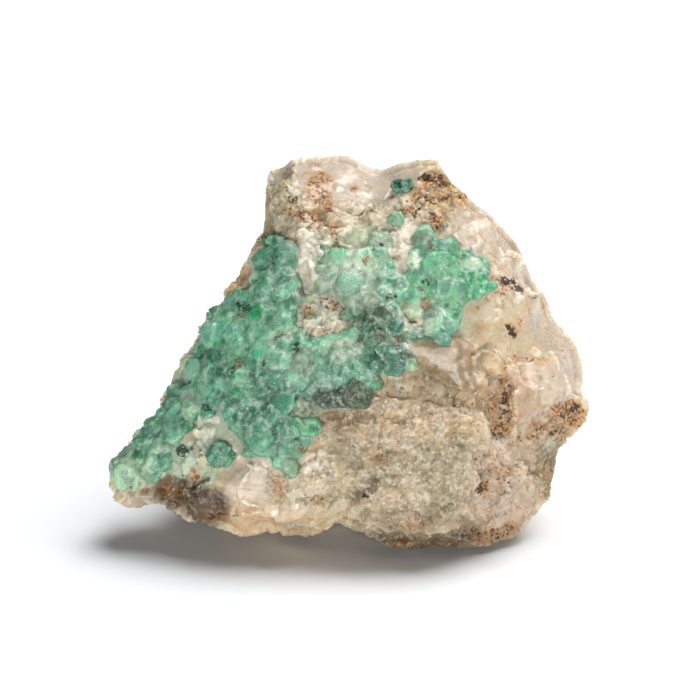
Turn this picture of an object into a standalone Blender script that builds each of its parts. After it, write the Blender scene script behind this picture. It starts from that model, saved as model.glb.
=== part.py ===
"""Emerald in matrix: a hand-sized lump of quartz and feldspar with a vein of emerald crystals across its front.

The lump is one broken stone. It stands on a flat break, and its front face leans back by LEAN.
Places on the stone are given in mm on that front face: across, up, and out of it.
"""

import math
import random

import bmesh
import bpy
from mathutils import Matrix, Vector, noise
from mathutils.bvhtree import BVHTree
from mathutils.geometry import delaunay_2d_cdt
from mathutils.kdtree import KDTree

MM = 0.001
LEAN = math.radians(20.0)
FACE_HEIGHT = 21.0  # mm from the foot up to the middle of the front face
CENTRE = (0.1, -4.5)  # mm across and back: where the middle of the whole stone is, so that it stands on zero
FIT_GAP = 0.3  # mm between a crystal and the stone that holds it
FORM_VOXEL = 0.7  # mm, the grain at which the broken faces run together
STONE_FACES = 3800
SKIN_SHARE = 0.33  # share of those faces that the top of the vein keeps between its grains
SOLVER = "MANIFOLD"  # the exact solver leaves open edges where many small grains meet the rough stone
LUMP_SIZE, LUMP_HEIGHT = 7.0, 0.9  # mm, broad swells of the broken surface
CHIP_SIZE, CHIP_HEIGHT = 3.0, 0.7  # mm, small chips between them
EDGE_CALM, EDGE_REACH = 0.3, 3.5  # share of that roughness at the outer edge, and mm until it is full
VEIN_DEPTH = 2.8  # mm of emerald below the stone's surface
VEIN_BACK = -2.2  # mm out of the face: the vein goes no further round the left edge
UNDER_SPREAD = 1.08  # the bed of the vein is drawn this much wider than the stone's edge
CRYSTAL_SEED = 11

# The stone's edge as it is seen square to the front face, clockwise from the left tip: across, up, out
RIM = [
    (-30.9, -14.7, 0.5), (-30.1, -11.4, 0.5), (-29.1, -10.0, 0.0), (-27.7, -9.4, 0.0),
    (-27.1, -8.7, -0.3), (-26.0, -7.0, -0.5), (-25.0, -6.7, -0.7), (-24.1, -4.9, -0.8),
    (-23.2, -4.3, -1.0), (-22.5, -1.4, -1.0), (-21.9, -0.5, -1.0), (-21.3, 1.3, -1.2),
    (-19.6, 2.9, -1.2), (-18.9, 4.6, -1.4), (-17.1, 7.5, -1.5), (-16.1, 8.5, -1.5),
    (-14.8, 10.0, -1.8), (-13.2, 13.5, -2.0), (-12.5, 15.3, -1.6), (-11.1, 17.8, -1.2),
    (-10.9, 21.2, -1.6), (-10.9, 22.8, -2.8), (-11.2, 23.3, -8.0), (-11.3, 25.8, -9.0),
    (-8.6, 26.1, -8.0), (-8.0, 26.3, -5.0), (-7.1, 27.0, -5.5), (-4.2, 27.4, -6.0),
    (-0.9, 27.5, -6.5), (0.5, 27.2, -6.5), (2.3, 26.0, -6.5), (3.4, 25.1, -6.5),
    (5.6, 26.1, -6.0), (8.1, 26.2, -5.5), (9.2, 27.0, -5.0), (11.2, 26.9, -4.8),
    (12.4, 25.3, -4.8), (12.7, 23.8, -4.8), (13.3, 22.9, -5.0), (14.6, 22.4, -5.2),
    (15.6, 20.9, -5.4), (16.8, 20.5, -5.6), (18.4, 19.2, -5.8), (19.9, 17.5, -6.0),
    (20.7, 16.9, -6.0), (21.4, 15.6, -6.0), (22.3, 13.8, -6.0), (22.7, 11.3, -5.6),
    (24.0, 10.7, -5.4), (24.6, 10.2, -5.4), (25.3, 8.7, -5.4), (25.8, 6.5, -5.4),
    (26.8, 5.2, -5.4), (28.0, 4.6, -5.4), (29.2, 2.0, -5.2), (29.9, -0.9, -5.0),
    (29.8, -2.8, -3.6), (30.7, -4.4, -2.4), (29.9, -6.8, -1.8), (28.1, -9.0, -1.8),
    (26.5, -9.7, -3.2), (26.2, -11.3, -3.6), (26.0, -14.6, -3.2), (25.3, -16.7, -2.2),
    (23.9, -17.9, -1.0), (21.6, -20.1, 0.5), (18.9, -21.6, 2.4), (16.0, -22.2, 3.2),
    (11.3, -22.1, 4.0), (8.6, -22.4, 4.2), (6.6, -22.7, 4.2), (5.0, -22.5, 4.2),
    (3.5, -21.4, 4.8), (2.0, -20.5, 6.0), (0.0, -20.0, 7.2), (-1.8, -19.0, 8.2),
    (-3.1, -20.1, 8.2), (-6.2, -20.3, 8.2), (-9.8, -20.1, 8.0), (-11.4, -20.5, 7.8),
    (-13.1, -21.0, 7.5), (-14.9, -20.3, 7.2), (-18.1, -19.5, 6.0), (-21.2, -18.6, 4.6),
    (-22.3, -17.6, 4.2), (-23.2, -17.3, 4.0), (-27.0, -17.6, 2.2), (-29.4, -16.8, 1.2),
]

# The corners between the broken faces of the front: across, up, out
FRONT = [
    # left wing, under the vein
    (-27.6, -12.6, 3.0), (-25.6, -10.0, 3.0), (-22.6, -6.0, 3.8), (-20.0, -1.4, 3.4),
    (-17.4, 4.6, 3.2), (-14.4, 9.0, 3.4), (-12.3, 12.6, 2.4), (-24.0, -13.3, 5.6),
    (-20.5, -9.5, 6.8), (-17.0, -4.0, 7.4), (-13.5, 2.0, 7.4), (-11.0, 8.0, 6.8),
    (-9.4, 12.6, 5.4), (-19.0, -13.0, 8.2), (-15.0, -9.0, 9.4), (-11.5, -4.0, 10.0),
    (-8.2, 2.0, 9.6), (-7.0, 8.0, 8.2), (-6.2, 13.0, 6.4),
    # ledge along the bottom on the left
    (-27.4, -15.2, 4.0), (-24.0, -16.0, 5.6), (-21.0, -16.6, 7.4), (-17.6, -15.8, 9.2),
    (-18.0, -18.4, 7.4), (-14.0, -19.0, 9.2), (-10.0, -18.6, 9.8), (-13.0, -14.6, 11.0),
    (-12.6, -11.8, 10.4), (-6.0, -18.2, 10.0), (-3.4, -18.2, 9.6), (-7.0, -13.6, 11.6),
    (-2.6, -13.6, 11.6), (-1.9, -17.2, 9.8),
    # sugary lobe below the middle, its lip, and the brown foot under the lip
    (-1.2, -8.4, 12.2), (3.0, -6.2, 12.6), (8.0, -5.6, 13.2), (13.0, -6.0, 12.9),
    (16.2, -8.5, 11.6), (0.0, -13.0, 12.4), (5.0, -12.0, 13.2), (10.0, -12.0, 13.3),
    (14.6, -13.4, 12.2), (1.5, -17.2, 10.6), (6.0, -18.0, 10.8), (10.5, -18.6, 10.4),
    (14.4, -18.2, 9.6), (4.1, -20.2, 8.8), (8.0, -20.9, 8.6), (12.3, -20.9, 8.3),
    (14.8, -20.2, 7.4), (16.6, -18.8, 7.4), (6.4, -21.5, 4.8), (11.0, -21.4, 4.6),
    (15.4, -21.0, 4.2),
    # glassy ledge over the lobe, and the step beneath its lower edge
    (7.9, 0.2, 12.5), (12.4, -2.0, 13.0), (16.4, -3.0, 11.6), (8.2, -1.6, 10.7),
    (12.6, -3.6, 11.0), (16.4, -4.6, 9.4), (8.0, 4.5, 9.8), (12.0, 4.8, 8.8),
    (16.5, 4.0, 7.6), (17.4, 0.4, 8.6),
    # middle of the vein and the cream island
    (-4.0, -3.0, 11.2), (0.0, -3.4, 12.0), (3.0, -1.5, 12.0), (6.4, 1.6, 11.2),
    (-4.0, 3.0, 10.2), (-1.0, 6.5, 9.6), (2.0, 2.0, 11.0), (4.0, 6.0, 9.6),
    (-5.5, 7.0, 8.8), (0.0, 10.0, 7.6), (3.0, 12.0, 6.8), (-3.5, 13.0, 6.2),
    (8.0, 9.0, 8.0), (11.0, 12.0, 6.8), (13.5, 8.0, 7.0), (16.0, 11.0, 5.0),
    (10.0, 15.0, 5.4), (14.5, 14.0, 4.4), (17.5, 9.5, 5.2),
    # knob at the upper left, with the white tip behind it
    (-9.6, 18.4, 1.8), (-9.4, 21.6, 2.2), (-7.8, 24.2, 1.0), (-6.4, 21.0, 3.8),
    (-5.8, 17.5, 4.4), (-8.0, 16.0, 4.2), (-8.8, 23.2, -0.4), (-9.6, 24.2, -7.4),
    (-8.6, 24.9, -6.6),
    # top ridges and the stained knob at the upper right
    (-5.0, 24.6, -1.0), (-1.0, 24.8, -1.4), (2.0, 23.4, -0.6), (-3.5, 21.0, 2.4),
    (0.5, 20.0, 3.3), (-2.0, 17.4, 4.6), (3.8, 23.0, -1.6), (5.8, 24.0, -0.6),
    (8.5, 24.0, 1.0), (11.0, 24.2, 0.4), (12.0, 21.5, 1.8), (9.0, 20.5, 3.6),
    (5.0, 20.5, 2.6), (3.5, 18.0, 4.0), (7.5, 17.5, 4.8), (11.5, 18.0, 3.8),
    (13.8, 19.0, 1.8), (13.4, 21.4, -0.6),
    # right shoulder, from the top down to the stained knob on the right
    (16.0, 18.6, 0.0), (18.4, 17.0, -1.0), (16.6, 15.4, 3.0), (20.0, 14.4, -0.4),
    (20.7, 12.0, 0.8), (18.5, 12.6, 3.0), (19.5, 10.2, 3.8), (22.2, 9.8, 1.2),
    (23.6, 8.4, 1.6), (24.4, 6.0, 1.6), (21.0, 6.4, 4.6), (18.0, 6.6, 6.4),
    (20.5, 2.4, 6.0), (24.5, 2.5, 3.0), (27.2, 1.6, 0.4), (27.6, -2.0, 1.0),
    (24.5, -1.4, 4.2), (21.0, -1.8, 6.8), (22.0, -4.6, 6.2), (26.8, -5.0, 3.0),
    (28.4, -4.6, 1.0), (25.0, -7.0, 4.6), (27.2, -7.4, 1.0),
    # seam between the lobe and the right side, and the strip below it
    (18.3, -3.4, 6.0), (18.6, -7.0, 5.6), (20.6, -6.6, 7.6), (20.4, -9.8, 7.6),
    (24.6, -9.7, 2.2), (22.0, -8.4, 5.6), (17.5, -11.0, 9.6), (21.0, -11.6, 7.2),
    (24.8, -11.6, 1.6), (20.0, -15.0, 7.0), (23.6, -14.8, 2.6), (17.5, -16.4, 8.0),
    (20.4, -18.0, 4.0), (18.0, -19.6, 4.6),
]

# The corners of the back and of the underside, over the table: across, back, height
BACK = [
    (-22.0, 3.0, 8.0), (-22.0, 6.0, 13.0), (-20.0, 10.0, 9.0), (-16.0, 14.0, 20.0),
    (-14.0, 20.0, 9.0), (-10.5, 15.0, 30.0), (-8.0, 22.0, 24.0), (-7.2, 17.0, 36.5),
    (0.0, 20.0, 38.0), (8.0, 19.0, 38.0), (4.0, 24.0, 30.0), (14.0, 20.0, 32.0),
    (19.0, 18.0, 25.0), (24.0, 14.0, 18.0), (25.4, 8.0, 12.0), (23.0, 6.0, 6.0),
    (22.0, 18.0, 10.0), (8.0, 26.0, 14.0), (-4.0, 25.0, 14.0), (6.0, 23.0, 3.0),
    (-6.0, 22.0, 4.0), (18.0, 19.0, 3.0),
    # the flat break it stands on, a little below the table until the foot is cut
    (5.0, -2.0, -1.0), (12.0, -2.5, -1.0), (18.0, -2.0, -1.0), (20.5, 5.0, -1.2),
    (22.0, 9.0, -1.2), (20.0, 14.0, -2.2), (5.0, 18.0, -2.2), (-12.0, 16.0, -2.2),
    (-17.0, 9.0, -1.6), (-15.0, 5.5, -0.7), (-9.0, 2.5, -0.7), (-3.0, 1.2, -0.7),
    (2.0, 0.8, -0.7), (4.0, 8.0, -2.2), (12.0, 6.0, -2.2), (-10.0, 10.0, -2.2),
    (-1.8, 7.0, -1.4), (13.0, 19.0, -1.8),
]
RING_SHARE, RING_DEPTH, RING_FROM = 0.93, 6.0, -17.0  # the edge above RING_FROM turns in to this share, mm back

# The vein's outline on the front face, and the cream island inside it: across, up
VEIN = [
    (-31.0, -12.6), (-28.6, -14.6), (-25.0, -13.8), (-22.6, -12.6), (-20.4, -9.6), (-19.2, -5.6),
    (-16.4, -5.0), (-14.4, -7.4), (-13.0, -10.6), (-10.0, -11.0), (-7.6, -12.8), (-4.6, -9.4),
    (-3.6, -5.2), (0.0, -4.9), (2.4, -3.4), (4.4, -0.4), (8.0, 0.2), (7.2, 3.6), (11.0, 3.8),
    (14.0, 4.8), (14.4, 8.2), (18.6, 10.2), (17.2, 13.6), (13.4, 15.6), (9.4, 17.6), (6.8, 14.6),
    (3.6, 17.6), (1.4, 15.4), (-3.0, 15.2), (-5.4, 12.4), (-7.4, 16.4), (-11.0, 16.8),
    (-15.4, 12.6), (-20.4, 6.0), (-24.6, -1.6), (-30.0, -8.0),
]
ISLAND = [(-6.0, 8.6), (-2.2, 9.4), (0.0, 6.6), (-1.2, 4.2), (-4.6, 3.6), (-6.4, 5.6)]

# The grains of the vein: across and up to the middle of each, and its radius
GRAINS = [
    (-28.2, -13.0, 1.6), (-26.1, -10.2, 1.7), (-24.1, -11.4, 1.3), (-22.4, -8.6, 1.6), (-21.0, -5.8, 1.7),
    (-22.0, -4.0, 1.6), (-18.4, -3.1, 1.3), (-11.5, 7.0, 1.6), (-16.7, 1.3, 1.8), (-16.4, 7.1, 1.2),
    (-16.8, 4.7, 1.8), (-19.1, 0.4, 1.7), (-18.6, -2.2, 1.5), (-13.8, -1.4, 1.7), (-11.9, 4.3, 1.2),
    (-9.3, 1.2, 1.8), (-8.4, 6.5, 1.5), (-13.5, -3.4, 1.7), (-11.3, -0.6, 1.6), (-8.3, -1.1, 1.6),
    (-15.3, -4.0, 1.2), (-8.5, -3.4, 1.5), (-13.5, -5.9, 1.3), (-10.3, 13.5, 1.9), (-8.1, 13.6, 1.7),
    (-9.8, 10.7, 1.9), (-7.6, 10.8, 1.7), (-1.4, 13.8, 1.5), (-3.4, 11.6, 1.8), (-0.1, 11.2, 1.8),
    (-11.9, 9.5, 1.2), (-3.3, -0.8, 1.8), (-5.9, 0.4, 1.8), (-11.1, 2.2, 1.2), (-11.2, -8.6, 1.9),
    (-4.9, -6.6, 1.5), (-8.1, -6.7, 1.6), (-11.8, -6.2, 1.2), (-7.1, -9.8, 1.2), (-3.1, -3.3, 1.7),
    (0.6, -3.0, 1.8), (-0.4, -0.1, 1.6), (-5.8, 2.6, 1.5), (-5.6, -3.6, 1.5), (-1.5, 2.6, 1.5),
    (3.4, 15.6, 1.5), (2.6, 13.3, 1.2), (7.9, 13.6, 1.3), (11.1, 15.1, 1.3), (11.2, 12.9, 1.9),
    (6.2, 10.4, 1.3), (9.0, 11.3, 1.5), (11.5, 10.2, 1.6), (12.3, 7.7, 1.3), (12.5, 5.5, 1.2),
    (10.3, 6.1, 1.6), (9.0, 15.9, 1.3), (4.3, 8.3, 1.8), (3.1, 5.9, 1.7), (5.6, 6.1, 1.6), (1.5, 8.2, 1.5),
    (5.2, 3.9, 1.3), (2.6, 3.3, 1.5), (15.0, 12.9, 1.3), (14.6, 10.9, 1.2), (16.8, 10.8, 1.3),
    (2.9, 0.9, 1.6), (6.0, 1.7, 1.5), (1.3, -1.2, 1.2), (8.3, 8.6, 1.3), (-14.2, 9.2, 1.3),
    (-13.9, 6.2, 1.5), (-13.9, 2.6, 1.5), (-24.6, -7.4, 1.3), (-26.4, -12.8, 1.2),
]
PROUD = 0.6  # how far a grain stands out of the vein, as a share of its radius
ROOT = 1.7  # mm of it below the surface
LEANING = 0.5  # how far its axis strays from square to the surface, as a slope

# Crystals that stand alone in the stone: across and up, radius, mm proud, and width over length
LONE_CRYSTALS = {
    "emerald_hexagon": (-16.1, -10.6, 1.75, 0.5, 1.0),
    "emerald_top": (6.5, 22.9, 1.45, 0.3, 0.7),
    "emerald_pale": (5.8, 18.8, 1.05, 0.35, 0.9),
}

# Colours of the solids in linear RGB, with roughness
STONE_COLOUR, STONE_ROUGHNESS = (0.62, 0.53, 0.42), 0.7
EMERALD_COLOUR, EMERALD_ROUGHNESS = (0.07, 0.34, 0.19), 0.3


def face(across, up, out):
    """A point in metres, from mm on the leaning front face and straight out of it."""
    y = CENTRE[1] + up * math.sin(LEAN) - out * math.cos(LEAN)
    z = FACE_HEIGHT + up * math.cos(LEAN) + out * math.sin(LEAN)
    return Vector((CENTRE[0] + across, y, z)) * MM


def over_table(across, back, height):
    """The same place as mm on the front face, for a corner measured back from it and up from the foot."""
    up = back * math.sin(LEAN) + (height - FACE_HEIGHT) * math.cos(LEAN)
    out = -back * math.cos(LEAN) + (height - FACE_HEIGHT) * math.sin(LEAN)
    return across, up, out


def outwards():
    return (face(0, 0, 1) - face(0, 0, 0)).normalized()


def material(name, colour, roughness):
    made = bpy.data.materials.new(name)
    made.use_nodes = True
    shader = made.node_tree.nodes["Principled BSDF"]
    shader.inputs["Base Color"].default_value = (*colour, 1.0)
    shader.inputs["Roughness"].default_value = roughness
    return made


def link(name, mesh):
    made = bpy.data.objects.new(name, mesh)
    bpy.context.scene.collection.objects.link(made)
    return made


def object_of(name, shape):
    """A new object from a bmesh, which is freed."""
    mesh = bpy.data.meshes.new(name)
    shape.to_mesh(mesh)
    shape.free()
    return link(name, mesh)


def settle(piece):
    """Replaces the piece's mesh with what its modifiers make of it."""
    bpy.context.view_layer.update()
    graph = bpy.context.evaluated_depsgraph_get()
    mesh = bpy.data.meshes.new_from_object(piece.evaluated_get(graph))
    piece.modifiers.clear()
    piece.data = mesh
    return piece


def evened(piece):
    """The piece with one even skin, which closes over folds and flakes."""
    merge = piece.modifiers.new("even", "REMESH")
    merge.mode = "VOXEL"
    merge.voxel_size = FORM_VOXEL * MM
    return settle(piece)


def thinned(piece, share):
    """The piece with about that share of its triangles."""
    piece.modifiers.new("thin", "DECIMATE").ratio = share
    return settle(piece)


def combine(piece, operation, *others):
    """Joins, cuts or trims the piece by the others, which are then removed."""
    for other in others:
        step = piece.modifiers.new(operation.lower(), "BOOLEAN")
        step.operation = operation
        step.solver = SOLVER
        step.object = other
        settle(piece)
        bpy.data.objects.remove(other)
    return piece


def largest_body(piece):
    """Drops the loose chips that a cut leaves, and keeps the one large body."""
    shape = bmesh.new()
    shape.from_mesh(piece.data)
    unseen, bodies = dict.fromkeys(shape.faces), []
    while unseen:
        body = [unseen.popitem()[0]]
        for flat in body:
            for near in (n for edge in flat.edges for n in edge.link_faces):
                if near in unseen:
                    del unseen[near]
                    body.append(near)
        bodies.append(body)
    keep = set(max(bodies, key=len))
    bmesh.ops.delete(shape, geom=[f for f in shape.faces if f not in keep], context="FACES")
    shape.to_mesh(piece.data)
    shape.free()
    return piece


def sheet(shape, rim, edge, corners):
    """Spans flat faces between the rim, whose vertices are edge, and the corners inside it."""
    spots = rim + corners
    verts = edge + [shape.verts.new(face(*c)) for c in corners]
    outline = [(i, (i + 1) % len(rim)) for i in range(len(rim))]
    flat = [Vector(s[:2]) for s in spots]
    _, _, faces, originals, _, _ = delaunay_2d_cdt(flat, outline, [], 1, 1e-6)
    for corner in faces:
        shape.faces.new([verts[originals[i][0]] for i in corner])


def back_corners():
    """The corners behind the edge: a ring that the edge turns in to, then the back and the foot."""
    ring = [(a * RING_SHARE, u * RING_SHARE, w - RING_DEPTH) for a, u, w in RIM[::2] if u > RING_FROM]
    return ring + [over_table(*corner) for corner in BACK]


def roughen(mesh):
    """Pushes the surface in and out in broad swells with small chips between them, less so at the edge."""
    edge = KDTree(4 * len(RIM))
    for i, (start, end) in enumerate(zip(RIM, RIM[1:] + RIM[:1])):
        for part in range(4):
            edge.insert(face(*Vector(start).lerp(Vector(end), part / 4)), 4 * i + part)
    edge.balance()
    mesh.update()
    moves = []
    for vertex in mesh.vertices:
        spot = vertex.co / MM
        swell = noise.fractal(spot / LUMP_SIZE, 0.9, 2.0, 3, noise_basis="PERLIN_ORIGINAL")
        near, next_near = noise.voronoi(spot / CHIP_SIZE)[0][:2]
        chip = 0.5 - (next_near - near)
        away = edge.find(vertex.co)[2] / MM
        share = EDGE_CALM + (1 - EDGE_CALM) * min(away / EDGE_REACH, 1.0)
        moves.append(vertex.normal * (LUMP_HEIGHT * swell - CHIP_HEIGHT * chip) * share * MM)
    for vertex, move in zip(mesh.vertices, moves):
        vertex.co += move


def stone_form():
    """The whole stone before the crystals are let in, with its foot cut flat."""
    shape = bmesh.new()
    edge = [shape.verts.new(face(*corner)) for corner in RIM]
    sheet(shape, RIM, edge, FRONT)
    sheet(shape, RIM, edge, back_corners())
    bmesh.ops.recalc_face_normals(shape, faces=shape.faces)
    stone = evened(object_of("matrix", shape))
    roughen(stone.data)
    evened(stone)
    thinned(stone, STONE_FACES / (2 * len(stone.data.polygons)))
    shape = bmesh.new()
    bmesh.ops.create_cube(shape, size=0.2, matrix=Matrix.Translation((0, 0, -0.1)))
    return combine(stone, "DIFFERENCE", object_of("table", shape))


def grown_outline(outline, by):
    """The outline moved outwards by that many mm. Less than nothing moves it inwards."""
    area = sum(a[0] * b[1] - b[0] * a[1] for a, b in zip(outline, outline[1:] + outline[:1]))
    side = by if area > 0 else -by
    grown = []
    for i, (x, y) in enumerate(outline):
        before, after = outline[i - 1], outline[(i + 1) % len(outline)]
        run = Vector((after[0] - before[0], after[1] - before[1])).normalized()
        grown.append((x + side * run.y, y - side * run.x))
    return grown


def prism(name, outline, back, front):
    """A solid of that outline on the front face, from back to front mm out of it."""
    shape = bmesh.new()
    base = shape.faces.new([shape.verts.new(face(x, y, back)) for x, y in outline])
    pushed = bmesh.ops.extrude_face_region(shape, geom=[base])
    rim = [v for v in pushed["geom"] if isinstance(v, bmesh.types.BMVert)]
    bmesh.ops.translate(shape, verts=rim, vec=face(0, 0, front) - face(0, 0, back))
    bmesh.ops.recalc_face_normals(shape, faces=shape.faces)
    return object_of(name, shape)


def under_vein(depth):
    """The stone under the vein, from depth mm below the front's corners to far behind them."""
    shape = bmesh.new()
    wide = [(a * UNDER_SPREAD, u * UNDER_SPREAD, w - depth) for a, u, w in RIM]
    edge = [shape.verts.new(face(*corner)) for corner in wide]
    sheet(shape, wide, edge, [(a, u, w - depth) for a, u, w in FRONT])
    pushed = bmesh.ops.extrude_face_region(shape, geom=shape.faces[:], use_keep_orig=True)
    far = [v for v in pushed["geom"] if isinstance(v, bmesh.types.BMVert)]
    bmesh.ops.translate(shape, verts=far, vec=outwards() * -60 * MM)
    bmesh.ops.recalc_face_normals(shape, faces=shape.faces)
    return object_of("under", shape)


def vein_slab(grow):
    """The slab in the vein, up past the stone's surface. Grown by the fit gap, it cuts the vein's socket."""
    slab = prism("slab", grown_outline(VEIN, grow), VEIN_BACK - grow, 30.0)
    island = prism("island", grown_outline(ISLAND, -grow), VEIN_BACK - 5.0, 35.0)
    return combine(slab, "DIFFERENCE", island, under_vein(VEIN_DEPTH + grow))


def crystal(name, seat, axis, turn, radius, proud, root, squash=1.0):
    """A short six-sided crystal, bevelled at its free end, standing on seat along axis. Sizes in mm."""
    place = Matrix.Translation(seat) @ axis.to_track_quat("Z", "Y").to_matrix().to_4x4()
    place = place @ Matrix.Rotation(turn, 4, "Z") @ Matrix.Diagonal((1.0, squash, 1.0, 1.0))
    shape = bmesh.new()
    rings = []
    for height, reach in ((-root, 0.8 * radius), (proud - 0.35 * radius, radius), (proud, 0.66 * radius)):
        corners = [(reach * math.cos(a), reach * math.sin(a), height) for a in SIX_WAYS]
        rings.append([shape.verts.new(place @ (Vector(c) * MM)) for c in corners])
    shape.faces.new(rings[0][::-1])
    shape.faces.new(rings[-1])
    for low, high in zip(rings, rings[1:]):
        for i in range(6):
            j = (i + 1) % 6
            shape.faces.new((low[i], low[j], high[j], high[i]))
    return object_of(name, shape)


SIX_WAYS = [math.radians(60 * i) for i in range(6)]


def seat_of(tree, across, up):
    """Where a line straight into the front face meets the stone, and the way its surface looks there."""
    spot, normal, _, _ = tree.ray_cast(face(across, up, 60.0), -outwards())
    return spot, normal.normalized()


def vein_grains(tree, grow):
    """The grains of the vein, each leaning a little this way or that."""
    draw = random.Random(CRYSTAL_SEED)
    made = []
    for i, (across, up, radius) in enumerate(GRAINS):
        lean = Vector([draw.uniform(-LEANING, LEANING) for _ in range(3)])
        turn = draw.uniform(0, math.pi / 3)
        spot, normal = seat_of(tree, across, up)
        axis = (normal + outwards() * 0.6 + lean).normalized()
        made.append(crystal(f"grain {i}", spot, axis, turn, radius + grow, PROUD * radius + grow, ROOT + grow))
    return made


def lone_crystal(name, tree, grow):
    across, up, radius, proud, squash = LONE_CRYSTALS[name]
    spot, normal = seat_of(tree, across, up)
    return crystal(name, spot, normal, 0.3, radius + grow, proud + grow, ROOT + 0.6 + grow, squash)


def main():
    for old in list(bpy.data.objects):
        bpy.data.objects.remove(old)
    stone_look = material("stone", STONE_COLOUR, STONE_ROUGHNESS)
    emerald_look = material("emerald", EMERALD_COLOUR, EMERALD_ROUGHNESS)

    stone = stone_form()
    tree = BVHTree.FromObject(stone, bpy.context.evaluated_depsgraph_get())
    crust = combine(vein_slab(0.0), "INTERSECT", thinned(link("skin", stone.data.copy()), SKIN_SHARE))
    combine(crust, "UNION", *vein_grains(tree, 0.0))
    crust.name = "emerald_crust"
    seats = [lone_crystal(name, tree, FIT_GAP) for name in LONE_CRYSTALS]
    combine(stone, "DIFFERENCE", vein_slab(FIT_GAP), *vein_grains(tree, FIT_GAP), *seats)
    lone = [lone_crystal(name, tree, 0.0) for name in LONE_CRYSTALS]

    largest_body(stone).data.materials.append(stone_look)
    for piece in (largest_body(crust), *lone):
        piece.data.materials.clear()
        piece.data.materials.append(emerald_look)


main()
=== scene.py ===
import math
import random

import bmesh
import bpy
import numpy as np
from mathutils import Matrix, Vector, noise
from mathutils.bvhtree import BVHTree
from mathutils.kdtree import KDTree


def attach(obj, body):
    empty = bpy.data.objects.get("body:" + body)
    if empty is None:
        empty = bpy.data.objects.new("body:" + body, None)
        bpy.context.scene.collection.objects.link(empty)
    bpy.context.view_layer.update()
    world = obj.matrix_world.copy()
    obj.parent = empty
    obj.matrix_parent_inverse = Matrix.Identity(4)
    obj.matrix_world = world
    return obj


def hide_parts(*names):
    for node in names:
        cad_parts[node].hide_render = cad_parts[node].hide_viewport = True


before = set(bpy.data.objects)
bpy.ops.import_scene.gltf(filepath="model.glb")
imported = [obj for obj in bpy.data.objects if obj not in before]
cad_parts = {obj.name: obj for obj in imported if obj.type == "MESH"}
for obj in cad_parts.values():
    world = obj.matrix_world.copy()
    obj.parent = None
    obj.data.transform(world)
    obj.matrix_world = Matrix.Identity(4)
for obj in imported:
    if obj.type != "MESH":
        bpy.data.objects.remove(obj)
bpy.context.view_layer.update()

# The view
# The stone leans back on its foot, and the camera looks square at its broken front face from a
# little over a metre away, so places on that face are given in mm across, up and out of it.
MM = 0.001
LEAN = math.radians(20.0)
FACE_CENTRE = Vector((0.1, -4.5, 21.0)) * MM
ACROSS = Vector((1.0, 0.0, 0.0))
UP = Vector((0.0, math.sin(LEAN), math.cos(LEAN)))
OUT = Vector((0.0, -math.cos(LEAN), math.sin(LEAN)))
CAMERA_DISTANCE = 1.2
VIEW_WIDTH = 0.0875
VIEW_MIDDLE = 2.5


def face(across, up, out):
    return FACE_CENTRE + (ACROSS * across + UP * up + OUT * out) * MM


def on_face(points):
    """Rows of across, up and out in mm, for rows of points in metres."""
    axes = np.array([ACROSS, UP, OUT])
    return (np.asarray(points) - np.array(FACE_CENTRE)) @ axes.T / MM


camera = bpy.data.objects.new("camera", bpy.data.cameras.new("camera"))
camera.data.sensor_width = 36.0
camera.data.lens = 36.0 * CAMERA_DISTANCE / VIEW_WIDTH
camera.data.clip_start = 0.05
camera.location = face(0.0, VIEW_MIDDLE, 0.0) + OUT * CAMERA_DISTANCE
camera.rotation_euler = OUT.to_track_quat("Z", "Y").to_euler()
bpy.context.scene.collection.objects.link(camera)
bpy.context.scene.camera = camera

# The stone
# One broken mass of sugary quartz and feldspar, stained by iron. The solid's own form gets the
# finer breaks of the real stone: steps, blocks, and flat chips at three sizes.
STONE_VOXEL = 0.34
# how far the crystals are swollen, in mm, to close the gap round them before the stone is smoothed
SEAT_COVER = 0.28
# rounds of smoothing under the vein, and where the quartz broke like glass
VEIN_ROUNDS = 45
GLASS_ROUNDS = 22
# mm out from the face at which a ray towards it starts
IN_FRONT = 60.0
VEIN = [
    (-31.0, -12.6), (-28.6, -14.6), (-24.8, -13.9), (-23.4, -13.2), (-22.0, -11.8), (-21.7, -10.0), (-21.0, -8.5),
    (-19.8, -7.2), (-19.0, -5.2), (-16.6, -5.0), (-14.6, -7.6), (-13.0, -10.6), (-10.0, -11.0), (-7.6, -12.8),
    (-4.6, -9.4), (-3.6, -5.2), (0.0, -4.9), (2.4, -3.4), (4.4, -0.4), (8.0, 0.2), (7.2, 3.6), (11.0, 3.8),
    (14.0, 4.8), (14.4, 8.2), (18.6, 10.2), (17.2, 13.6), (13.4, 15.6), (9.4, 17.6), (6.8, 14.6), (3.6, 17.6),
    (1.4, 15.4), (-3.0, 15.2), (-4.6, 13.4), (-4.4, 9.6), (-6.2, 9.4), (-6.6, 14.0), (-7.4, 16.4), (-10.6, 16.4),
    (-12.2, 14.6), (-12.6, 9.8), (-14.8, 9.4), (-18.4, 6.2), (-19.8, 3.2), (-19.9, 0.4), (-22.6, -2.6), (-25.4, -4.6),
    (-30.0, -8.4),
]
ISLANDS = [
    [(-6.0, 8.6), (-2.2, 9.4), (0.0, 6.6), (-1.2, 4.2), (-4.6, 3.6), (-6.4, 5.6)],
    [(6.2, 18.2), (8.0, 17.6), (7.6, 14.8), (8.8, 13.4), (7.4, 11.8), (6.2, 12.6), (5.4, 14.4), (5.5, 16.4)],
    [(7.0, 8.6), (9.6, 8.2), (10.8, 6.4), (8.8, 5.4), (6.8, 6.4)],
    [(-7.6, -3.0), (-6.2, -2.3), (-4.5, -3.4), (-3.9, -5.2), (-5.4, -6.3), (-7.2, -5.4)],
]
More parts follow.
